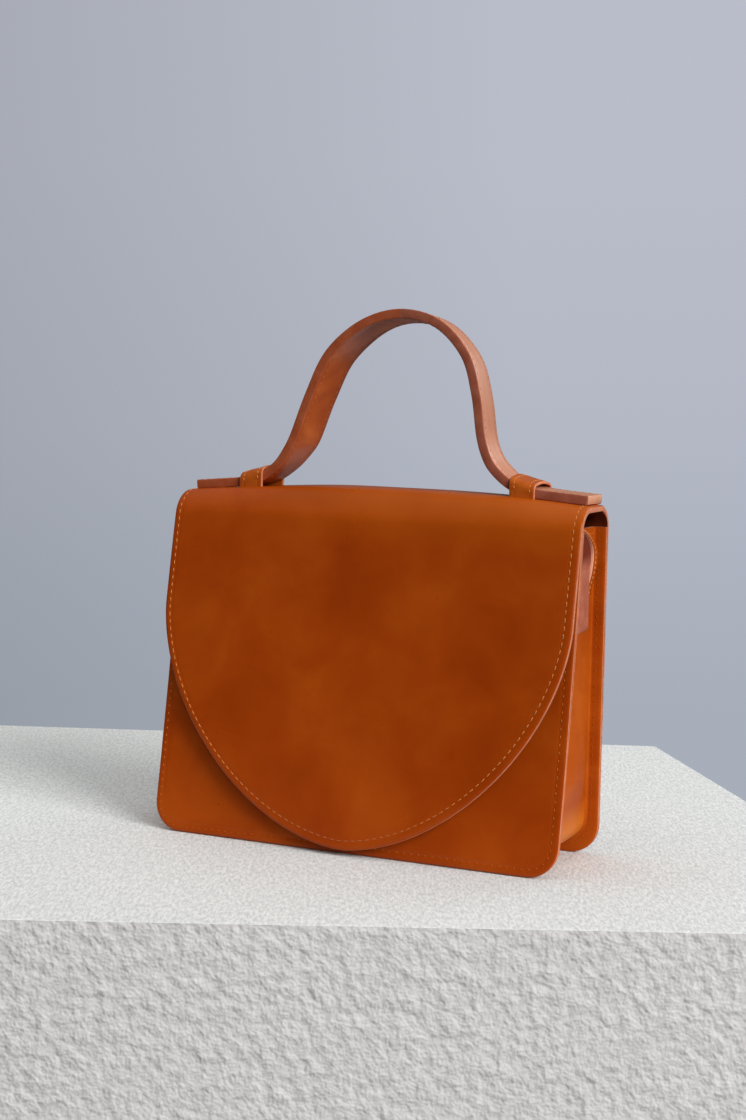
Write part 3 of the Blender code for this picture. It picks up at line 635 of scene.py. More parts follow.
def tint(factor, colour):
    """Mixes a further colour into the one that the shader has so far."""
    shader = factor.id_data.nodes["Principled BSDF"]
    plain = shader.inputs["Base Color"].links[0].from_socket
    fill(shader, {"Base Color": mix(factor, plain, colour)})


def bump(height, distance, normal=None):
    inputs = {"Height": height, "Distance": distance, "Strength": 1.0}
    if normal is not None:
        inputs["Normal"] = normal
    return add("ShaderNodeBump", inputs).outputs["Normal"]


def started(name):
    made = bpy.data.materials.new(name)
    made.use_nodes = True
    return made, made.node_tree


def on_sheet(name):
    """A new material with each point's place on its sheet and distance from the edge."""
    made, tree = started(name)
    return made, tree, attribute(tree, "sheet"), attribute(tree, "inset", "Fac")


def leather(name, dark, middle, light, shine=0.26, cloud_scale=22.0):
    """Waxed, glossy leather: faintly cloudy in colour and shine, with a fine grain and a burnished border."""
    made, tree, coords, inset = on_sheet(name)
    cloud = noise(coords, cloud_scale, 4.0, 0.55, 0.4)
    patches = noise(coords, 38.0, 3.0, 0.6)
    relief = bump(noise(coords, 45.0, 2.0), 0.2 * MM)
    relief = bump(noise(coords, 1500.0, 2.0, 0.6), 0.015 * MM, relief)
    pores = add("ShaderNodeTexVoronoi", {"Vector": coords, "Scale": 900.0}).outputs["Distance"]
    shade(tree, {
        "Base Color": ramp(cloud, (0.3, dark), (0.5, middle), (0.72, light)),
        "Roughness": span(patches, 0.3, 0.7, shine, shine + 0.12),
        "Normal": bump(pores, 0.01 * MM, relief),
        "Specular IOR Level": 0.22,
        "Specular Tint": WAX,
        "Coat Weight": 0.05,
        "Coat Roughness": 0.1,
    })
    tint(span(inset, 0.5 * MM, 5 * MM, 0.35, 0.0), srgb(*dark))
    return made


def body_look():
    """The body's leather, with a painted highlight over the front of the crown: a lighter yellow where it
    bends, stronger towards the right.
    """
    made = leather("body_leather", (146, 53, 3), (157, 61, 6), (168, 72, 11))
    coords = attribute(made.node_tree, "sheet")
    length = axis_of(coords, "Y")
    before = span(length, FRONT_FOLD_START - 24 * MM, FRONT_FOLD_START - 8 * MM, 0.0, 1.0)
    after = span(length, FRONT_FOLD_START + 8 * MM, FRONT_FOLD_START + 34 * MM, 1.0, 0.0)
    aside = span(axis_of(coords, "X"), -80 * MM, 60 * MM, 0.12, 0.45)
    # Painted highlight: the band over the front fold, stronger on the right, where the light falls.
    tint(times(times(before, after), aside), srgb(186, 94, 12))
    return made


def web_look():
    """The gusset's leather, with painted light that makes it a lighter yellow round its two lower corners."""
    made = leather("gusset_leather", (153, 60, 5), (167, 72, 10), (181, 85, 18), 0.42)
    tree = made.node_tree
    low = span(axis_of(attribute(tree, "sheet"), "Z"), 17 * MM, 30 * MM, 0.85, 0.0)
    web = span(attribute(tree, "inset", "Fac"), BORDER_MARK + MM, WEB_MARK - MM, 0.0, 1.0)
    # Painted light: the lower corners lighter and yellower, where they catch the light.
    tint(times(low, web), srgb(200, 110, 32))
    shade(tree, {"Specular IOR Level": 0.16, "Coat Weight": 0.0})
    return made


def cut_edge(name, colour, worn, roughness=0.5):
    """The rubbed edge of a cut sheet, its fibres running along it in fine lines."""
    made, tree, coords, _ = on_sheet(name)
    blotch = noise(coords, 120.0, 3.0, 0.6)
    fibre = noise(coords, 1800.0, 3.0, 0.7)
    shade(tree, {
        "Base Color": ramp(blotch, (0.3, colour), (0.7, worn)),
        "Roughness": span(blotch, 0.3, 0.7, roughness - 0.08, roughness + 0.1),
        "Normal": bump(fibre, 0.04 * MM),
        "Specular IOR Level": 0.15,
    })
    tint(span(fibre, 0.45, 0.8, 0.0, 0.4), srgb(*worn))
    return made


def panel_edge_look():
    """The pale, rubbed edge of the body's sheets, with painted shade that turns it more orange towards the
    left, away from the light.
    """
    made = cut_edge("pale_edge", (180, 108, 78), (202, 136, 108))
    tree = made.node_tree
    across = axis_of(attribute(tree, "sheet"), "X")
    # Painted shade: the edge turns orange towards the left, the side away from the light.
    tint(span(across, -70 * MM, 30 * MM, 1.0, 0.0), srgb(196, 92, 34))
    shade(tree, {"Specular IOR Level": 0.0})
    return made


def stay_look():
    """The bare side of the stays: rosy and dry, with painted shade that makes it darker and redder towards the
    top, in the recess under the flap.
    """
    made, tree, coords, _ = on_sheet("stay")
    mottle = noise(coords, 160.0, 4.0, 0.6)
    deep = ramp(mottle, (0.3, (92, 26, 10)), (0.7, (116, 38, 18)))
    shade(tree, {
        "Base Color": ramp(mottle, (0.3, (158, 84, 62)), (0.7, (184, 108, 84))),
        "Roughness": span(mottle, 0.3, 0.7, 0.45, 0.6),
        "Normal": bump(noise(coords, 1400.0, 3.0, 0.7), 0.05 * MM),
        "Specular IOR Level": 0.35,
    })
    # Painted shade: darker and redder towards the top, in the recess under the flap.
    tint(span(axis_of(coords, "Y"), 31 * MM, 39 * MM, 0.0, 1.0), deep)
    return made


def strap_look():
    """The strap's leather: orange and streaked inside the arch, pale on its outer face, partly rubbed and
    partly a painted sheen.
    """
    made = leather("strap_leather", (142, 58, 16), (164, 76, 24), (186, 98, 40), 0.3, 40.0)
    coords = attribute(made.node_tree, "sheet")
    streaks = noise(stretched(coords, (1.0, 0.2, 1.0)), 260.0)
    outer = ramp(streaks, (0.3, (186, 122, 93)), (0.7, (200, 140, 112)))
    # The pale outer face: partly rubbed leather, partly a painted sheen from the light above and to the right.
    tint(span(axis_of(coords, "Z"), 0.0, 1.5 * MM, 0.0, 1.0), outer)
    shade(made.node_tree, {"Specular IOR Level": 0.5, "Specular Tint": (1.0, 1.0, 1.0, 1.0)})
    return made


def thread_look(name, dark, light):
    """Waxed thread, its twist seen as slanting ridges, stained by the leather low down on the bag."""
    made, tree, coords, height = on_sheet(name)
    twist = add("ShaderNodeTexWave", {"Vector": coords, "Scale": 420.0, "Distortion": 1.0})
    twist.bands_direction = "DIAGONAL"
    shade(tree, {
        "Base Color": mix(twist.outputs["Fac"], srgb(*dark), srgb(*light)),
        "Roughness": 0.55,
        "Normal": bump(twist.outputs["Fac"], 0.06 * MM),
        "Specular IOR Level": 0.15,
    })
    tint(span(height, 8 * MM, 50 * MM, 0.7, 0.0), srgb(164, 76, 24))
    return made


def steel_look():
    """Polished steel with fine scratches."""
    made, tree = started("snap_steel")
    coords = tree.nodes.new("ShaderNodeTexCoord").outputs["Object"]
    scratch = noise(coords, 2500.0, 4.0, 0.7)
    shade(tree, {
        "Base Color": ramp(scratch, (0.3, (150, 146, 140)), (0.7, (205, 202, 196))),
        "Roughness": span(scratch, 0.3, 0.7, 0.18, 0.34),
        "Normal": bump(scratch, 0.01 * MM),
        "Metallic": 1.0,
    })
    return made


WAX = (1.0, 0.72, 0.48, 1.0)
BODY_LEATHER = body_look()
WEB_LEATHER = web_look()
STRAP_LEATHER = strap_look()
KEEPER_LOOK = leather("keeper_leather", (152, 64, 14), (174, 82, 20), (192, 99, 33), 0.28, 60.0)
LINING_LOOK = leather("lining_leather", (70, 24, 8), (88, 33, 12), (106, 44, 18), 0.5, 25.0)
PALE_EDGE = panel_edge_look()
# A lighter copy of the pale edge: painted light on the facing's rim, which lies in shade in the recess by the
# stay.
FACING_EDGE = cut_edge("facing_edge", (214, 150, 122), (228, 172, 146))
LEFT_EDGE = cut_edge("left_strap_edge", (148, 68, 38), (166, 88, 56), 0.42)
RIGHT_EDGE = cut_edge("right_strap_edge", (136, 70, 50), (158, 92, 72), 0.42)
# The strap's end faces, much paler than its edges: a painted highlight where the light from the right falls on
# them.
STRAP_END = cut_edge("strap_end", (200, 138, 106), (218, 162, 132))
STAY = stay_look()
THREAD = thread_look("thread", (190, 106, 48), (222, 150, 86))
FAINT_THREAD = thread_look("faint_thread", (182, 88, 26), (214, 124, 50))
DARK_THREAD = thread_look("dark_thread", (156, 64, 12), (174, 82, 24))
STRAP_THREAD = thread_look("strap_thread", (164, 96, 62), (188, 122, 88))
PALE_THREAD = thread_look("pale_thread", (210, 134, 76), (238, 180, 120))
STEEL = steel_look()
SHEET_LOOKS = [BODY_LEATHER, PALE_EDGE, LINING_LOOK]


def sweep(name, materials, lines, section, ends=(True, True), rounding=END_ROUNDING, cap_look=1):
    """A band between two lines. lines holds these two and the way up from them. section goes round the band:
    share of its width, height, and the look of the step that follows. At an end the section closes in over
    the last two rows, and a face fills it."""
    first, second, normals = lines
    share, height, looks = np.array(section).T
    width = np.linalg.norm(second - first, axis=1).mean()
    middle = height.mean()
    reach = np.abs(height - middle).max()
    parts = [(slice(None), 0.0)]
    if ends[0]:
        parts.insert(0, (slice(1), rounding))
    if ends[1]:
        parts.append((slice(-1, None), rounding))
    rows = []
    for part, pull in parts:
        shares = 0.5 + (share - 0.5) * (1 - 2 * pull / width)
        heights = middle + (height - middle) * (1 - pull / reach)
        across = (second - first)[part, None] * shares[:, None]
        rows.append(first[part, None] + across + normals[part, None] * heights[:, None])
    points = np.concatenate(rows)
    if ends[0]:
        points[1:2] += unit(points[2:3] - points[1:2]) * rounding
    if ends[1]:
        points[-2:-1] += unit(points[-3:-2] - points[-2:-1]) * rounding
    sheet = points_at(share * width, runs_along(points[:, 0])[:, None], height)
    made = Build()
    made.grid(points, sheet, np.minimum(share, 1 - share) * width, looks, closed=True)
    return made.finish(name, materials, cap_look)


def band_section(width, low, high, rounding, seam_inset):
    """A strap's section for sweep, with look 0 for its faces and 1 for its edges. Where seam_inset isn't 0,
    both faces have a shallow groove along each edge for a row of stitches."""
    half = width / 2
    r = rounding
    edge = [(half - r, 0.0), (half - 0.45 * r, 0.15 * r), (half - 0.12 * r, 0.5 * r), (half, r)]
    top = [(0.0, 0.0), (0.45 * half, 0.0)]
    if seam_inset:
        top += [(half - seam_inset + k * 0.45 * MM, d * MM) for k, d in ((-1, 0.0), (0, 0.12), (1, 0.0))]
    upper = [(x, high - d) for x, d in top + edge]
    lower = [(x, low + d) for x, d in reversed(top + edge)]
    right = upper + lower
    points = right + [(-x, h) for x, h in reversed(right)][1:-1]
    beyond = [abs(x) > half - 0.7 * r for x, _ in points]
    looks = [int(a or b) for a, b in zip(beyond, beyond[1:] + beyond[:1])]
    return [((x + half) / width, h, look) for (x, h), look in zip(points, looks)]


def catmull(t, p):
    """A smooth curve from the second of four points to the third."""
    square = 2 * p[0] - 5 * p[1] + 4 * p[2] - p[3]
    cube = 3 * (p[1] - p[2]) + p[3] - p[0]
    return (2 * p[1] + (p[2] - p[0]) * t + square * t * t + cube * t**3) / 2


def strap_rest(x):
    """The height of the strap's middle where it lies on the bag."""
    return CROWN_HEIGHT + dome(x) + SEAM_GAP + STRAP_HALF_THICKNESS


def strap_line():
    """The strap's middle line in the XZ plane, from its left end over the arch to its right end."""
    foot = strap_rest(STRAP_HALF_LENGTH)
    points = [(share * STRAP_HALF_LENGTH, foot + rise * HANDLE_RISE) for share, rise in ARCH_SHARES]
    flat = [(x, strap_rest(x)) for x in spread(STRAP_HALF_LENGTH, points[-1][0], 3)[:-1]]
    points = np.array([(-x, z) for x, z in flat] + points + flat[::-1])
    padded = np.concatenate([points[:1], points, points[-1:]])
    near = [padded[k:len(points) - 1 + k, None] for k in range(4)]
    line = catmull(np.array(spread(0, 1, 8))[:-1, None], near)
    return np.concatenate([line.reshape(-1, 2), points[-1:]])


def strap_lines():
    """The strap's front and rear lines and the way up from them."""
    line = strap_line()
    x, z = line[:, 0], line[:, 1]
    way = unit(np.gradient(line, axis=0))
    normals = points_at(-way[:, 1], 0.0, way[:, 0])
    apex = max(ARCH_SHARES, key=lambda point: point[1])[0] * STRAP_HALF_LENGTH
    height = (z - strap_rest(BODY_HALF)) / HANDLE_RISE
    aside = (x - apex) / STRAP_HALF_LENGTH
    turn_in = np.where(aside < 0, STRAP_TOE_IN[0], -STRAP_TOE_IN[1]) * ease(3 * np.abs(aside))
    turn_in = turn_in * ease((height - KEEPER_SHARE) / TOE_IN_SHARE)
    front = points_at(x, STRAP_Y - STRAP_WIDTH / 2, z)
    rear = points_at(x + turn_in, STRAP_Y + STRAP_WIDTH / 2, z - STRAP_REAR_DROP * ease(height))
    out = (2 * ease(height / WORN_SHARE) - 1) * (STRAP_HALF_THICKNESS - STRAP_HALF_WORN)
    return front + normals * out[:, None], rear + normals * out[:, None], normals


def make_strap():
    """Two halves that meet at the top of the arch, each from a flat end on the bag up its leg."""
    front, rear, normals = strap_lines()
    apex = int(np.argmax(front[:, 2]))
    low = -STRAP_HALF_WORN - STRAP_UNDER
    section = band_section(STRAP_WIDTH, low, STRAP_HALF_WORN, STRAP_ROUNDING, 0.0)
    left = ("left", slice(0, apex + 1), (True, False), LEFT_EDGE)
    right = ("right", slice(apex, None), (False, True), RIGHT_EDGE)
    for word, part, ends, edge in (left, right):
        looks = [STRAP_LEATHER, edge, STRAP_END]
        lines = (front[part], rear[part], normals[part])
        strap = sweep("strap_" + word, looks, lines, section, ends, STRAP_END_ROUNDING, cap_look=2)
        rows = []
        inside = STRAP_SEAM_INSET / STRAP_WIDTH
        for share in (inside, 1 - inside):
            line = front[part] + (rear[part] - front[part]) * share
            rows.append((line + normals[part] * STRAP_HALF_WORN, normals[part]))
            arch = np.abs(line[:, 0]) < KEEPER_INNER
            rows.append((line[arch] + normals[part][arch] * low, -normals[part][arch]))
        name = "strap_thread_" + word
        thread = stitches(name, rows, STRAP_THREAD, STRAP_STITCH, radius=STRAP_THREAD_RADIUS)
        nodes = ("handle_outer", "handle_inner", "handle_end_" + word)
        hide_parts(*nodes)
        for piece in (strap, thread):
            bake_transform(piece)


def underside(x, y):
    """The height of the top band's underside over a point."""
    low, high = REAR_CUT, FRONT_CUT
    for _ in range(30):
        middle = (low + high) / 2
        if WRAP.place(x, middle, LINED)[1] > y:
            low = middle
        else:
            high = middle
    return float(WRAP.place(x, (low + high) / 2, LINED)[2])


def keeper_line(x, room):
    """The inside of a keeper's loop at this x, from its front foot over the strap to its rear foot."""
    front_y = STRAP_Y - STRAP_WIDTH / 2 - SEAM_GAP
    rear_y = STRAP_Y + STRAP_WIDTH / 2 + SEAM_GAP
    top = CROWN_HEIGHT + dome(x) + room
    r = KEEPER_CORNER
    half = (rear_y - front_y) / 2
    over = []
    for t in spread(0, math.pi / 2, 8):
        over.append((front_y + r * (1 - math.cos(t)), top - KEEPER_CROWN - r * (1 - math.sin(t))))
    for y in spread(front_y + r, STRAP_Y, 6)[1:]:
        over.append((y, top - KEEPER_CROWN * ((y - STRAP_Y) / (half - r)) ** 2))
    shoulder = over[0][1]
    deep = min(underside(x, front_y), underside(x, front_y + KEEPER_FOOT)) - SEAM_GAP
    deep_rear = min(underside(x, rear_y), underside(x, rear_y - KEEPER_FOOT)) - SEAM_GAP
    foot = [(front_y + out, deep + up) for out, up in KEEPER_FOOT_BEND]
    leg = [(front_y, z) for z in spread(foot[-1][1], shoulder, 4)[1:-1]]
    front = foot + leg + over
    rear = []
    for y, z in reversed(front[:-1]):
        share = max(0.0, (shoulder - z) / (shoulder - deep))
        rear.append((2 * STRAP_Y - y, z + (deep_rear - deep) * share))
    return np.array([(x, y, z) for y, z in front + rear])


def make_keeper(word, side):
    first = keeper_line(side * KEEPER_INNER, KEEPER_INNER_ROOM)
    second = keeper_line(side * (KEEPER_INNER + KEEPER_WIDTH), KEEPER_OUTER_ROOM)
    middle = (first + second) / 2
    way = unit(np.gradient(middle, axis=0))
    normals = points_at(0.0, -way[:, 2], way[:, 1])
    section = band_section(KEEPER_WIDTH, 0.0, KEEPER_LEATHER, KEEPER_ROUNDING, KEEPER_SEAM_INSET)
    looks = [KEEPER_LOOK, PALE_EDGE, KEEPER_LOOK]
    keeper = sweep("keeper_" + word + "_loop", looks, (first, second, normals), section)
    rows = []
    over = slice(KEEPER_HIDDEN, -KEEPER_HIDDEN)
    for inset in (KEEPER_SEAM_INSET, KEEPER_WIDTH - KEEPER_SEAM_INSET):
        line = first[over] + (second - first)[over] * (inset / KEEPER_WIDTH)
        rows.append((line + normals[over] * KEEPER_LEATHER, normals[over]))
    thread = stitches("keeper_" + word + "_thread", rows, THREAD, KEEPER_STITCH, SHORT_PITCH)
    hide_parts("keeper_" + word)
    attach(keeper, "top")
    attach(thread, "top")


def gusset_front(height):
    """Where the gusset's front border is in Y at a height, behind the front panel."""
    lengths = np.linspace(0, FRONT.total, DENSE)
    faces = FRONT.outer(0.0, lengths) + FRONT.inward(0.0, lengths) * LEATHER
    return np.interp(height, faces[:, 2], faces[:, 1]) + SEAM_GAP


def web_swell(share, z):
    """How far the web stands out from its folds: a little all the way up, and more above its lower corner."""
    low = ease((z - WEB_LOW_START) / (WEB_LOW_PEAK - WEB_LOW_START))
    low = low * (1 - ease((z - WEB_LOW_PEAK) / (WEB_LOW_TOP - WEB_LOW_PEAK)))
    flattened = WEB_FLATTENED_SHARE * ease((z - WEB_FLAT_FROM) / (TAB_BOTTOM - WEB_FLAT_FROM))
    plain = ease(z / WEB_LOW_PEAK) * (1 - flattened)
    return (WEB_BULGE * plain + WEB_LOW_BULGE * low) * np.sin(math.pi * share)


def web_surface(y, z):
    """How far the outside of the web is from the bag's middle."""
    first = gusset_front(z) + GUSSET_FOLD_RADIUS
    last = GUSSET_REAR - GUSSET_FOLD_RADIUS
    share = np.clip((y - first) / (last - first), 0.0, 1.0)
    return WEB_X + GUSSET_LEATHER + web_swell(share, z)


def to_border(x, z, way_x, way_z):
    """How far it is from a point of the gusset's fold to the back panel's border along this way."""
    down = z / -way_z if way_z < 0 else math.inf
    across = (BODY_HALF - x) / way_x if way_x > 0 else math.inf
    reach = min(down, across)
    centre = (BODY_HALF - CORNER_RADIUS, CORNER_RADIUS)
    from_centre = (x - centre[0], z - centre[1])
    ahead = from_centre[0] * way_x + from_centre[1] * way_z
    round_one = -ahead + math.sqrt(max(0.0, ahead**2 - math.hypot(*from_centre) ** 2 + CORNER_RADIUS**2))
    beyond = x + way_x * reach > centre[0] and z + way_z * reach < centre[1]
    return round_one if beyond else reach


def gusset_stations():
    """Places round the U of the gusset's web, each with the way out across its border in the XZ plane. At the
    corners its length follows the panels' outline, which turns in a wider round."""
    centre = (WEB_X - WEB_CORNER_RADIUS, FLANGE + WEB_CORNER_RADIUS)
    right = [((x, FLANGE), (0.0, -1.0)) for x in rows_between(0.0, centre[0], 4 * MM)[1:-1]]
    for turn in spread(-math.pi / 2, 0, 12):
        way = (math.cos(turn), math.sin(turn))
        place = (centre[0] + WEB_CORNER_RADIUS * way[0], centre[1] + WEB_CORNER_RADIUS * way[1])
        reach = to_border(*place, *way) / FLANGE
        right.append((place, (way[0] * reach, way[1] * reach)))
    right += [((WEB_X, z), (1.0, 0.0)) for z in rows_between(centre[1], PANEL_TOP)[1:]]
    left = [((-x, z), (-out_x, out_z)) for (x, z), (out_x, out_z) in reversed(right)]
    return left + [((0.0, FLANGE), (0.0, -1.0))] + right


def gusset_section():
    """Round the gusset's section: (out, inward, share of the web, look) from the front border over the web to
    the rear one on the outside, and back on the inside."""
    t = GUSSET_LEATHER
    r = GUSSET_FOLD_RADIUS
    turns = spread(0, math.pi / 2, 5)
    outside = [(FLANGE, 0.5 * t, 0, 1), (FLANGE - 0.1 * MM, 0.85 * t, 0, 1), (FLANGE - 0.5 * MM, t, 0, 0)]
    outside += [(out, t, 0, 0) for out in (6.2 * MM, 4.6 * MM, 3.4 * MM)]
    outside += [(r - (r - t) * math.sin(a), r - (r - t) * math.cos(a), 0, 0) for a in turns]
    web = [(t, r, share, 0) for share in spread(0, 1, 14)[1:-1]]
    rear = [(out, inward, 1, look) for out, inward, _, look in reversed(outside)]
    inside = [(FLANGE - 0.1 * MM, 0.15 * t, 0, 1), (FLANGE - 0.5 * MM, 0.0, 0, 2), (5 * MM, 0.0, 0, 2)]
    inside += [(r - r * math.sin(a), r - r * math.cos(a), 0, 2) for a in turns]
    rear_inside = [(out, inward, 1, look) for out, inward, _, look in inside]
    inner_web = [(0.0, r, 1 - share, 2) for _, _, share, _ in web]
    return outside + web + rear + rear_inside + inner_web + inside[::-1]


def make_gusset():
    out, inward, share, looks = np.array(gusset_section()).T
    places, ways = np.array(gusset_stations()).transpose(1, 0, 2)
    x, z = places.T[..., None]
    out_x, out_z = ways.T[..., None]
    swell = web_swell(share, z) * out_x * np.sign(x)
    height = np.maximum(z + out_z * (out + swell), 0.0)
    front_y = gusset_front(np.maximum(height, 2 * FRONT_FOOT))
    y = front_y + inward + (GUSSET_REAR - front_y - 2 * inward) * share
    sheet = points_at(y, runs_along(places)[:, None], height)
    insets = np.where((share > 0) & (share < 1), WEB_MARK, BORDER_MARK)
    made = Build()
    made.grid(points_at(x + out_x * (out + swell), y, height), sheet, insets, looks, closed=True)
    gusset = made.finish("gusset_leather", [WEB_LEATHER, PALE_EDGE, LINING_LOOK])
    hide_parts("gusset")
    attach(gusset, "case")

    x, z = (places + ways * GUSSET_SEAM_INSET).T
    seams = []
    for y, way in ((GUSSET_REAR - GUSSET_LEATHER, -1.0), (gusset_front(z) + GUSSET_LEATHER, 1.0)):
        seams.append((points_at(x, y, z), points_at(0.0 * x, way, 0.0)))
    z = PANEL_TOP - HEM_INSET
    y = np.linspace(gusset_front(z) + 2 * GUSSET_FOLD_RADIUS, GUSSET_REAR - GUSSET_FOLD_RADIUS, 12)
    hems = []
    for side in (-1, 1):
        hems.append((points_at(side * web_surface(y, z), y, z), points_at(side, 0.0 * y, 0.0)))
    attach(stitches("gusset_thread", seams, DARK_THREAD, SHORT_STITCH), "case")
    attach(stitches("hem_thread", hems, THREAD), "case")


def tab_border(heights):
    """A stay's front and rear borders in Y at these heights."""
    share = np.maximum(0.0, (heights - TAB_STRAIGHT_TOP) / (TAB_TOP - TAB_STRAIGHT_TOP))
    front_y = gusset_front(heights) + SEAM_GAP + GUSSET_FOLD_RADIUS
    reach = (BACK_Y - TAB_REAR_INSET - front_y) * np.sqrt(1 - TAB_NARROWING_SHARE * share**2)
    return front_y, front_y + reach + TAB_BULGE * np.sin(math.pi * share)


def make_tab(word, side):
    """The stay beside a gusset wall's front corner, with the wall's stitched edge over its rear border."""
    turns = spread(0, math.pi / 2, 24)
    curve = [TAB_STRAIGHT_TOP + (TAB_TOP - TAB_STRAIGHT_TOP) * math.sin(t) for t in turns]
    heights = np.array(joined(rows_between(TAB_BOTTOM, TAB_STRAIGHT_TOP), curve))
    front_y, rear_y = tab_border(heights)
    x = side * (WEB_X + GUSSET_LEATHER + (1 - WEB_FLATTENED_SHARE) * WEB_BULGE + SEAM_GAP / 2)
    slant = TAB_END_SLANT * (1 - ease((heights - TAB_BOTTOM) / (5 * TAB_END_SLANT)))
    normals = points_at(side, 0.0 * heights, 0.0)
    lines = (points_at(x, front_y, heights), points_at(x, rear_y, heights + slant), normals)
    section = band_section(np.mean(rear_y - front_y), 0.0, TAB_LEATHER, TAB_ROUNDING, 0.0)
    tab = sweep("tab_" + word, [STAY, PALE_EDGE, STAY], lines, section)
    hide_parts("gusset_tab_" + word)

    heights = np.array(joined(rows_between(FACING_BOTTOM, TAB_STRAIGHT_TOP), curve))
    border = np.stack([tab_border(heights)[1], heights], -1)
    way = unit(np.gradient(border, axis=0))
    out = np.stack([way[:, 1], -way[:, 0]], -1)
    out[:, 1] = np.clip(out[:, 1], -1.0, FACING_MOST_RISE)
    outer = border + out * FACING_WIDTH
    sunk = FACING_HEIGHT * (1 - ease((heights - FACING_BOTTOM) / (TAB_STRAIGHT_TOP - FACING_BOTTOM)))
    surface = side * (web_surface(border[:, 0], heights) - sunk)
    first = np.column_stack([surface, border])
    second = np.column_stack([surface, outer])
    section = [(share, height * FACING_HEIGHT, look) for share, height, look in FACING_SECTION]
    normals = points_at(side, 0.0 * heights, 0.0)
    facing = sweep("facing_" + word, [WEB_LEATHER, FACING_EDGE], (first, second, normals), section)
    seam = first + (second - first) * FACING_SEAM_SHARE + normals * FACING_HEIGHT
    thread = stitches("facing_thread_" + word, [(seam, normals)], PALE_THREAD, FACING_STITCH, SHORT_PITCH)
    for piece in (tab, facing, thread):
        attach(piece, "case")


def make_wrap():
    """The sheet round the outside, in two pieces that meet along the middle of the top, each with a fold."""
    rear_start = (0.0, BACK_Y, REAR_FOLD_CENTRE[1] - 6 * MM)
    rear_end = (0.0, REAR_FOLD_CENTRE[0] + 6 * MM, CROWN_HEIGHT - 1 * MM)
    front_start = (0.0, FRONT_FOLD_CENTRE[0] - 6 * MM, CROWN_HEIGHT - 3 * MM)
    front_end = (0.0, FRONT_HINGE[0] - 4 * MM, FRONT_HINGE[1] - 14 * MM)
    rear_nodes = ("back_panel", "top_band", "top_band_lining")
    front_nodes = ("flap_outer", "flap_lining")
    for sheet, name, bodies, ends, nodes in (
        (back_sheet(), "back_and_top", ("case", "top"), (rear_start, rear_end), rear_nodes),
        (flap_sheet(), "top_and_flap", ("top", "flap"), (front_start, front_end), front_nodes),
    ):
        piece = sheet.build(name, SHEET_LOOKS)
        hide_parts(*nodes)
        if name == "top_and_flap":
            rows = [sheet.seam(FLAP_SEAM), sheet.seam(FLAP_SEAM, outside=False)]
            thread = stitches(name + "_thread", rows, THREAD)
        else:
            thread = stitches(name + "_thread", [sheet.seam(PANEL_SEAM)], FAINT_THREAD, SHORT_STITCH)
        for made in (piece, thread):
            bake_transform(made)


def make_front():
    sheet = front_sheet()
    panel = sheet.build("front_leather", SHEET_LOOKS)
    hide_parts("front_panel")
    thread = stitches("front_thread", [sheet.seam(PANEL_SEAM)], FAINT_THREAD, SHORT_STITCH)
    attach(panel, "case")
    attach(thread, "case")


def finish_snap():
    for name in ("snap_socket", "snap_socket_washer", "snap_stud"):
        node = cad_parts[name]
        for index in range(max(1, len(node.material_slots))):
            if not node.material_slots:
                node.data.materials.append(STEEL)
            node.material_slots[index].material = STEEL


def plaster_look():
    """Rough white plaster: on its top a fine speckle of painted light and shade, drawn in the colour in place
    of a fine relief, in a paler, bluer tone; coarser lumps on its upright sides.
    """
    made, tree = started("pale_plaster")
    places = tree.nodes.new("ShaderNodeTexCoord").outputs
    coords = places["Object"]
    turned = add("ShaderNodeVectorRotate", {"Vector": coords, "Angle": -TABLE_TURN}, rotation_type="Z_AXIS")
    top = span(axis_of(places["Normal"], "Z"), 0.4, 0.8, 0.0, 1.0)
    speckle = noise(stretched(turned.outputs[0], (1.0, 0.3, 1.0)), 680.0, 3.0, 0.65)
    lumps = noise(coords, 170.0, 2.0, 0.55)
    relief = bump(mix(top, lumps, times(speckle, 0.12)), 2.1 * MM)
    shade(tree, {
        "Base Color": ramp(lumps, (0.3, (206, 205, 207)), (0.7, (221, 220, 221))),
        "Normal": bump(noise(coords, 480.0, 3.0, 0.6), 0.3 * MM, relief),
        "Roughness": 0.9,
        "Specular IOR Level": 0.2,
    })
    # Painted light and shade: the top's speckle stands in for the shading of a fine grain.
    tint(top, ramp(speckle, (0.36, (204, 209, 211)), (0.64, (234, 237, 238))))
    return made


def make_table():
    mesh = bpy.data.meshes.new("table")
    bm = bmesh.new()
    top = [bm.verts.new((x, y, -TABLE_DROP)) for x, y in TABLE_CORNERS]
    low = [bm.verts.new((x, y, -TABLE_DEPTH)) for x, y in TABLE_CORNERS]
    bm.faces.new(top)
    bm.faces.new(low[::-1])
    for i in range(4):
        j = (i + 1) % 4
        bm.faces.new((top[j], top[i], low[i], low[j]))
    bmesh.ops.recalc_face_normals(bm, faces=bm.faces)
    bm.to_mesh(mesh)
    bm.free()
    table = placed("table", mesh)
    edges = table.modifiers.new("Edges", "BEVEL")
    edges.width = TABLE_EDGE
    edges.segments = 3
    mesh.materials.append(plaster_look())


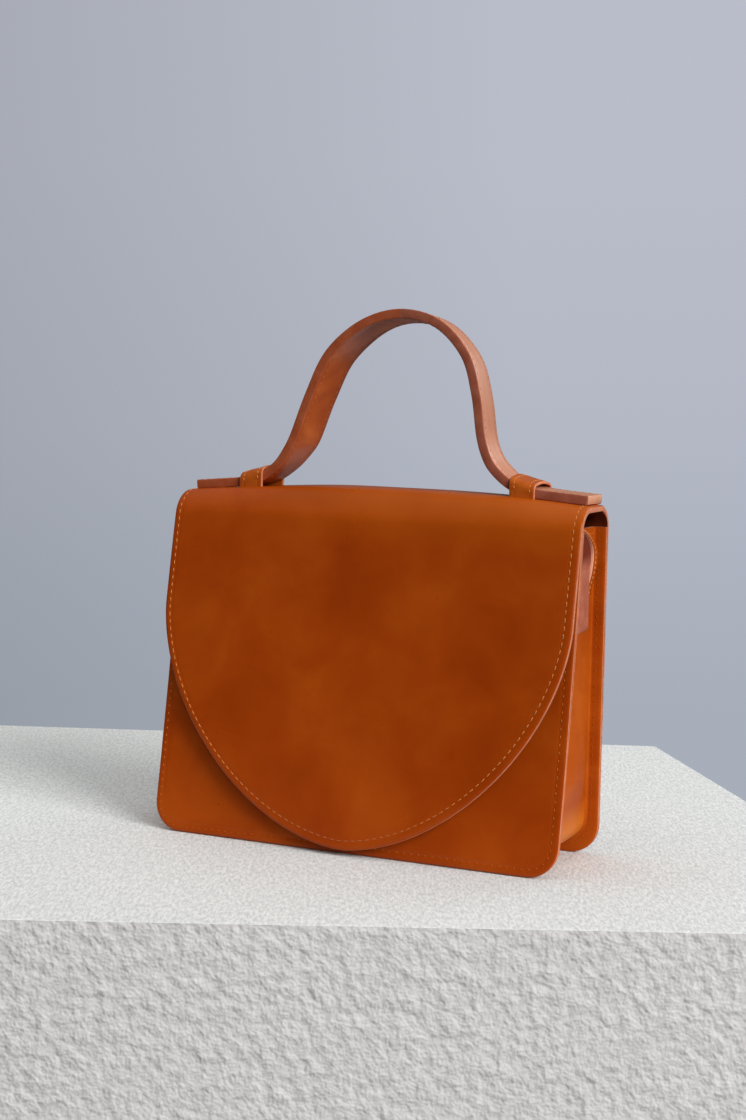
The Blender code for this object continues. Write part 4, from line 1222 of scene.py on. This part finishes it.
def make_world():
    """A blue-grey backdrop for the camera, paler towards its top, and a soft light from above and behind."""
    world = bpy.data.worlds.new("studio")
    bpy.context.scene.world = world
    world.use_nodes = True
    tree = world.node_tree
    way = tree.nodes.new("ShaderNodeTexCoord").outputs["Generated"]
    x, y, z = (axis_of(way, axis) for axis in "XYZ")
    height = span(z, -0.16, 0.12, 0.0, 1.0)
    tone = ramp(height, (0.0, (167, 174, 185)), (0.5, (179, 184, 196)), (1.0, (185, 189, 201)))
    dimmed = span(x, -0.6, -0.36, 0.8, 1.0)
    backdrop = add("ShaderNodeBackground", {"Color": tone, "Strength": dimmed})
    above = span(z, 0.0, 1.0, 0.04, 0.3)
    behind = span(y, 0.0, 1.0, 0.0, 0.1)
    strength = add("ShaderNodeMath", {0: above, 1: behind}, operation="ADD").outputs[0]
    light = add("ShaderNodeBackground", {"Color": srgb(233, 232, 231), "Strength": strength})
    seen = tree.nodes.new("ShaderNodeLightPath").outputs["Is Camera Ray"]
    chosen = add("ShaderNodeMixShader", {0: seen, 1: light.outputs[0], 2: backdrop.outputs[0]})
    fill(tree.nodes["World Output"], {"Surface": chosen.outputs[0]})


def add_light(name, place, size, power, colour, mirrored=True):
    """A lamp turned to the bag. One that isn't mirrored lights the leather and doesn't show in its gloss."""
    data = bpy.data.lights.new(name, "AREA")
    data.size = size
    data.energy = power
    data.color = colour
    lamp = placed(name, data)
    lamp.location = place
    lamp.rotation_euler = (LAMP_TARGET - Vector(place)).to_track_quat("-Z", "Y").to_euler()
    lamp.visible_glossy = mirrored


def make_camera():
    data = bpy.data.cameras.new("camera")
    data.lens = CAMERA_LENS
    data.sensor_fit = "AUTO"
    data.sensor_width = 36.0
    data.clip_start = 0.01
    data.clip_end = 20.0
    camera = placed("camera", data)
    camera.location = CAMERA_PLACE
    turn = (CAMERA_TARGET - CAMERA_PLACE).to_track_quat("-Z", "Y")
    camera.rotation_mode = "QUATERNION"
    camera.rotation_quaternion = turn @ Quaternion((0.0, 0.0, 1.0), CAMERA_ROLL)
    bpy.context.scene.camera = camera


make_wrap()
make_front()
make_gusset()
make_tab("left", -1)
make_tab("right", 1)
make_strap()
make_keeper("left", -1)
make_keeper("right", 1)
finish_snap()
make_table()
make_world()
add_light("window", (4.9, -2.2, 2.9), 2.8, 375.0, (1.0, 0.98, 0.95))
add_light("fill", (3.4, -3.6, 1.8), 2.4, 42.0, (1.0, 0.99, 0.96), False)
add_light("far_window", (1.0, 2.0, 1.15), 1.0, 6.0, (0.97, 0.98, 1.0))
add_light("sky", (-0.5, 0.1, 2.2), 2.4, 22.0, (1.0, 0.98, 0.94), False)
make_camera()
bpy.context.scene.view_settings.view_transform = "Standard"
